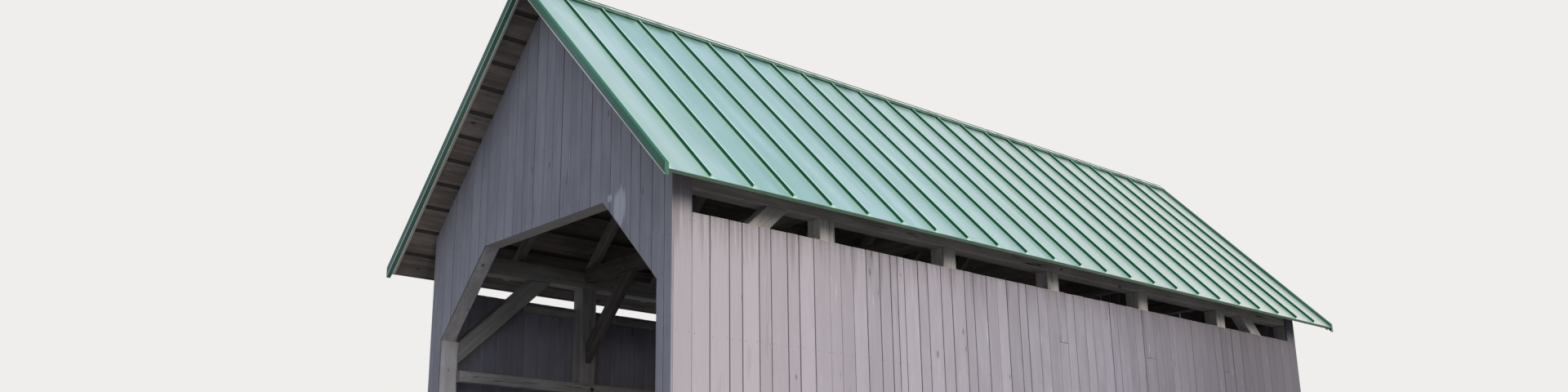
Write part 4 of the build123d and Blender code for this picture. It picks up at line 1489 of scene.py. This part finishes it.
@dataclass
class StoneAbutment:
    """One abutment: split stones laid in courses round a core of mortar, with slabs on top."""

    node: str
    side: int
    stone: Material
    mortar: Material
    seed: int
    half_width: float = 2.95
    face_top: float = 5.885
    batter: float = 0.12
    back: float = 7.6
    wall_front: float = 6.9
    seat: float = 1.5
    top: float = 2.4
    bed_depth: float = 0.3
    slab: float = 0.2
    # A course's usual height, and the smallest and largest share of it
    course: float = 0.25
    course_spread: Point = (0.8, 1.25)
    joint: float = 0.007
    # How far the mortar lies behind the stones' faces
    recess: float = 0.018
    worn_edge: float = 0.035
    # How far faces are dressed back and rise and fall, in broad waves and in small chips
    dressing: float = 0.012
    wave: float = 0.014
    chip: float = 0.006
    # The shortest and the longest stone in each kind of row
    face_stones: Point = (0.34, 0.82)
    side_stones: Point = (0.3, 0.7)
    seat_slabs: Point = (0.7, 1.15)
    top_slabs: Point = (0.6, 1.0)
    least: float = 0.02
    points: list[Vector] = field(default_factory=list)
    faces: list[list[int]] = field(default_factory=list)
    tones: list[float] = field(default_factory=list)
    dice: random.Random = field(init=False)

    def __post_init__(self) -> None:
        """Starts the abutment's own row of random numbers."""
        self.dice = random.Random(self.seed)

    def split(self, start: float, stop: float, low: float, high: float) -> list[float]:
        """Divides a run into stones of different sizes.

        Args:
            start: Where the run starts.
            stop: Where it ends.
            low: The shortest stone.
            high: The longest stone.

        Returns:
            The places of all joints, both ends included.
        """
        places = [start]
        while stop - places[-1] > high:
            places.append(places[-1] + self.dice.uniform(low, high))
        if stop - places[-1] < low * 0.6 and len(places) > 1:
            places.pop()
        return [*places, stop]

    def lay_stone(self, low: Vector, high: Vector, battered: bool) -> None:
        """Lays one stone with worn edges and uneven faces.

        Args:
            low: Its lowest corner, in the far abutment's place.
            high: Its highest corner.
            battered: Whether its front follows the battered face.
        """
        size = high - low - Vector((self.joint, self.joint, self.joint)) * 2
        if min(size) < self.least:
            return
        shape = bmesh.new()
        bmesh.ops.create_cube(shape, size=2.0)
        bmesh.ops.subdivide_edges(shape, edges=shape.edges, cuts=3, use_grid_fill=True)
        start = len(self.points)
        shape.verts.index_update()
        self.tones += [self.dice.random()] * len(shape.verts)
        swirl = Vector([self.dice.uniform(0, 50) for _ in range(3)])
        radius = min(self.worn_edge, min(size) / 4)
        flat = size / 2 - Vector((radius, radius, radius))
        for vert in shape.verts:
            # The loops beside the edges move out to where the rounding starts
            inner = Vector([max(-1.0, min(1.0, 2 * vert.co[axis])) * flat[axis] for axis in range(3)])
            outward = Vector([round(value) if abs(value) > 0.9 else 0.0 for value in vert.co]).normalized()
            spot = inner + outward * radius
            push = noise.noise(spot * 5.0 + swirl) * self.wave + noise.noise(spot * 14.0 + swirl) * self.chip
            spot += (low + high) / 2 - outward * (self.dressing + push)
            if battered:
                slope = self.batter * (1 - max(spot.z, 0.0) / self.seat)
                share = (high.y - spot.y) / (high.y - low.y)
                spot.y -= slope * max(0.0, min(1.0, share))
            self.points.append(Vector((spot.x, spot.y * self.side, max(spot.z, 0.001))))
        for face in shape.faces:
            numbers = [start + vert.index for vert in face.verts]
            self.faces.append(numbers if self.side > 0 else numbers[::-1])
        shape.free()

    def lay_row(
        self, depth: Point, level: Point, inset: float, stone_sizes: Point, battered: bool
    ) -> None:
        """Lays a row of stones across the abutment.

        Args:
            depth: Where the row's front and back faces are.
            level: Its bed and its top.
            inset: How far it stops short of both sides.
            stone_sizes: The shortest and the longest stone.
            battered: Whether its front follows the battered face.
        """
        reach = self.half_width - inset
        for start, stop in pairwise(self.split(-reach, reach, *stone_sizes)):
            low = Vector((start, depth[0], level[0]))
            self.lay_stone(low, Vector((stop, depth[1], level[1])), battered)

    def lay_rings(self, low_z: float, high_z: float, front: float, deep: float, battered: bool) -> None:
        """Lays courses of slightly different height round the core.

        Args:
            low_z: The first course's bed.
            high_z: The last course's top.
            front: Where the front face is.
            deep: How deep the stones reach into the wall.
            battered: Whether the front is battered.
        """
        count = max(1, round((high_z - low_z) / self.course))
        weights = [self.dice.uniform(*self.course_spread) for _ in range(count)]
        beds = [low_z]
        for weight in weights:
            beds.append(beds[-1] + (high_z - low_z) * weight / sum(weights))
        for number, level in enumerate(pairwise(beds)):
            # Front and sides take turns at the corners
            inset = deep if number % 2 else 0.0
            self.lay_row((front, front + deep), level, inset, self.face_stones, battered)
            self.lay_row((self.back - deep, self.back), level, inset, self.face_stones, False)
            inset = deep - inset
            for edge in (-1, 1):
                low_x, high_x = sorted((edge * self.half_width, edge * (self.half_width - deep)))
                for start, stop in pairwise(self.split(front + inset, self.back - inset, *self.side_stones)):
                    low = Vector((low_x, start, level[0]))
                    self.lay_stone(low, Vector((high_x, stop, level[1])), battered and start == front)

    def fill_core(self) -> None:
        """Adds the mortar core, set back from every face."""
        inset = self.recess + self.dressing
        section = [
            (self.face_top - self.batter + inset, 0.001), (self.back - inset, 0.001),
            (self.back - inset, self.top - inset), (self.wall_front + inset, self.top - inset),
            (self.wall_front + inset, self.seat - inset), (self.face_top + inset, self.seat - inset),
        ]
        start, count = len(self.points), len(section)
        for x in (-self.half_width + inset, self.half_width - inset):
            self.points += [Vector((x, y * self.side, z)) for y, z in section]
        self.tones += [0.5] * (2 * count)
        near = list(range(start, start + count))
        far = [number + count for number in near]
        shell = [near[::-1], far]
        for number in range(count):
            after = (number + 1) % count
            shell.append([near[number], near[after], far[after], far[number]])
        self.faces += [ring[::-1] for ring in shell] if self.side > 0 else shell

    def build(self) -> None:
        """Lays the whole abutment and hands it over."""
        seat_bed, top_bed = self.seat - self.slab, self.top - self.slab
        self.lay_rings(0.0, seat_bed, self.face_top, self.bed_depth, True)
        self.lay_row((self.face_top, self.wall_front), (seat_bed, self.seat), 0.0, self.seat_slabs, True)
        self.lay_rings(seat_bed, top_bed, self.wall_front, (self.back - self.wall_front) / 2, False)
        self.lay_row((self.wall_front, self.back), (top_bed, self.top), 0.0, self.top_slabs, False)
        stone_faces = len(self.faces)
        self.fill_core()
        mesh = bpy.data.meshes.new(f"laid_{self.node}")
        mesh.from_pydata(self.points, [], self.faces)
        store(mesh, "tone", "POINT", self.tones)
        mesh.materials.append(self.stone)
        mesh.materials.append(self.mortar)
        for polygon in mesh.polygons:
            polygon.use_smooth = polygon.index < stone_faces
            polygon.material_index = int(polygon.index >= stone_faces)
        hand_over(add_object(mesh.name, mesh), self.node)


@dataclass
class Stage:
    """Floor, light and camera."""

    floor_reach: float = 70.0
    focal_px: float = 1675.819
    frame_px: float = 1920.0
    sensor_mm: float = 36.0
    clip_end: float = 500.0
    eye: Triple = (14.08468, -15.73364, 1.71503)
    yaw: float = -0.82713
    pitch: float = 0.28292
    roll: float = -0.01525
    sun_height_deg: float = 20.0
    sun_turn_deg: float = 4.0
    sun_strength: float = 2.8
    sun_spread_deg: float = 30.0
    sky_strength: float = 0.8

    def floor(self) -> None:
        """Lays the plain floor, pale to the camera and dimmer as a reflector."""
        mesh = bpy.data.meshes.new("studio_floor")
        reach = self.floor_reach
        corners = [(-reach, -reach, 0.0), (reach, -reach, 0.0), (reach, reach, 0.0), (-reach, reach, 0.0)]
        mesh.from_pydata(corners, [], [(0, 1, 2, 3)])
        material, net = blank_material("pale_studio_floor")
        seen = net.add("ShaderNodeLightPath").outputs["Is Camera Ray"]
        colour = net.add("ShaderNodeMix", (seen, "#a19f9a", "#dedcd8"), data_type="RGBA")
        shader = net.add("ShaderNodeBsdfDiffuse", {"Color": colour, "Roughness": 0.5})
        net.add("ShaderNodeOutputMaterial", {"Surface": shader})
        mesh.materials.append(material)
        add_object("studio_floor", mesh)

    def light(self) -> None:
        """Sets a soft key from the right and an even sky, white to the camera."""
        lamp = bpy.data.lights.new("soft_key", "SUN")
        lamp.energy = self.sun_strength
        lamp.angle = math.radians(self.sun_spread_deg)
        lamp.color = linear("#fff4ea")[:3]
        height = math.radians(self.sun_height_deg)
        turn = math.radians(self.sun_turn_deg)
        to_sun = Vector((
            math.cos(height) * math.cos(turn), math.cos(height) * math.sin(turn), math.sin(height)
        ))
        add_object("soft_key", lamp).rotation_euler = to_sun.to_track_quat("Z", "Y").to_euler()
        world = bpy.data.worlds.new("plain_sky")
        bpy.context.scene.world = world
        world.use_nodes = True
        world.node_tree.nodes.clear()
        net = Net(world.node_tree)
        rays = net.add("ShaderNodeLightPath").outputs
        seen = rays["Is Camera Ray"]
        direct = net.add("ShaderNodeMath", (seen, rays["Is Glossy Ray"]), operation="MAXIMUM")
        direct = net.add("ShaderNodeMath", (direct, rays["Is Transmission Ray"]), operation="MAXIMUM")
        # Mirrored in the roof, the sky is white and warm low down and bluer higher up
        way = net.add("ShaderNodeTexCoord").outputs["Generated"]
        rise = net.add("ShaderNodeSeparateXYZ", (way,)).outputs["Z"]
        rise = net.add("ShaderNodeMapRange", (rise, 0.42, 0.8), interpolation_type="SMOOTHSTEP")
        colour = net.add("ShaderNodeMix", (rise, "#fffbf4", "#d3e3f0"), data_type="RGBA")
        colour = net.add("ShaderNodeMix", (seen, colour, "#efeeec"), data_type="RGBA")
        colour = net.add("ShaderNodeMix", (direct, "#d6e2f6", colour), data_type="RGBA")
        strength = net.add("ShaderNodeMapRange", (direct, 0.0, 1.0, self.sky_strength, 1.0))
        sky = net.add("ShaderNodeBackground", {"Color": colour, "Strength": strength})
        net.add("ShaderNodeOutputWorld", {"Surface": sky})

    def camera(self) -> None:
        """Sets the camera low at the front right, looking up along the wall."""
        lens = bpy.data.cameras.new("camera")
        lens.sensor_width = self.sensor_mm
        lens.lens = self.focal_px / self.frame_px * self.sensor_mm
        lens.clip_end = self.clip_end
        ahead = Vector((
            math.sin(self.yaw) * math.cos(self.pitch), math.cos(self.yaw) * math.cos(self.pitch),
            math.sin(self.pitch),
        ))
        right = Vector((math.cos(self.yaw), -math.sin(self.yaw), 0.0))
        up = right.cross(ahead)
        tilted_right = right * math.cos(self.roll) + up * math.sin(self.roll)
        tilted_up = up * math.cos(self.roll) - right * math.sin(self.roll)
        turn = Matrix((tilted_right, tilted_up, -ahead)).transposed().to_4x4()
        view = add_object("camera", lens)
        view.matrix_world = Matrix.Translation(Vector(self.eye)) @ turn
        bpy.context.scene.camera = view

    def build(self) -> None:
        """Builds the stage."""
        self.floor()
        self.light()
        self.camera()
        bpy.context.scene.view_settings.view_transform = "Standard"


def main() -> None:
    """Builds the bridge's looks, piece by piece, and then its stage."""
    logging.basicConfig(level=logging.INFO, format="%(name)s: %(message)s")
    finishes = Finishes()
    for node, side, seed in (("abutment_near", -1, 3), ("abutment_far", 1, 4)):
        StoneAbutment(node, side, finishes.stone, finishes.mortar, seed).build()
    FrameTimbers(
        finishes.timber, finishes.shaded_inner_timber, finishes.roof_board, finishes.batten,
        finishes.lining, finishes.bolt,
    ).build()
    PlankDeck(finishes.deck).build()
    Boarding(finishes.siding, finishes.gable, finishes.nail).build()
    SeamedRoof(
        finishes.roof_sheet, finishes.roof_trim, finishes.rake_face, finishes.cap, finishes.shaded_seam_side,
        finishes.seam_crest_highlight, finishes.drip, finishes.primer,
    ).build()
    Stage().build()


if __name__ == "__main__":
    main()
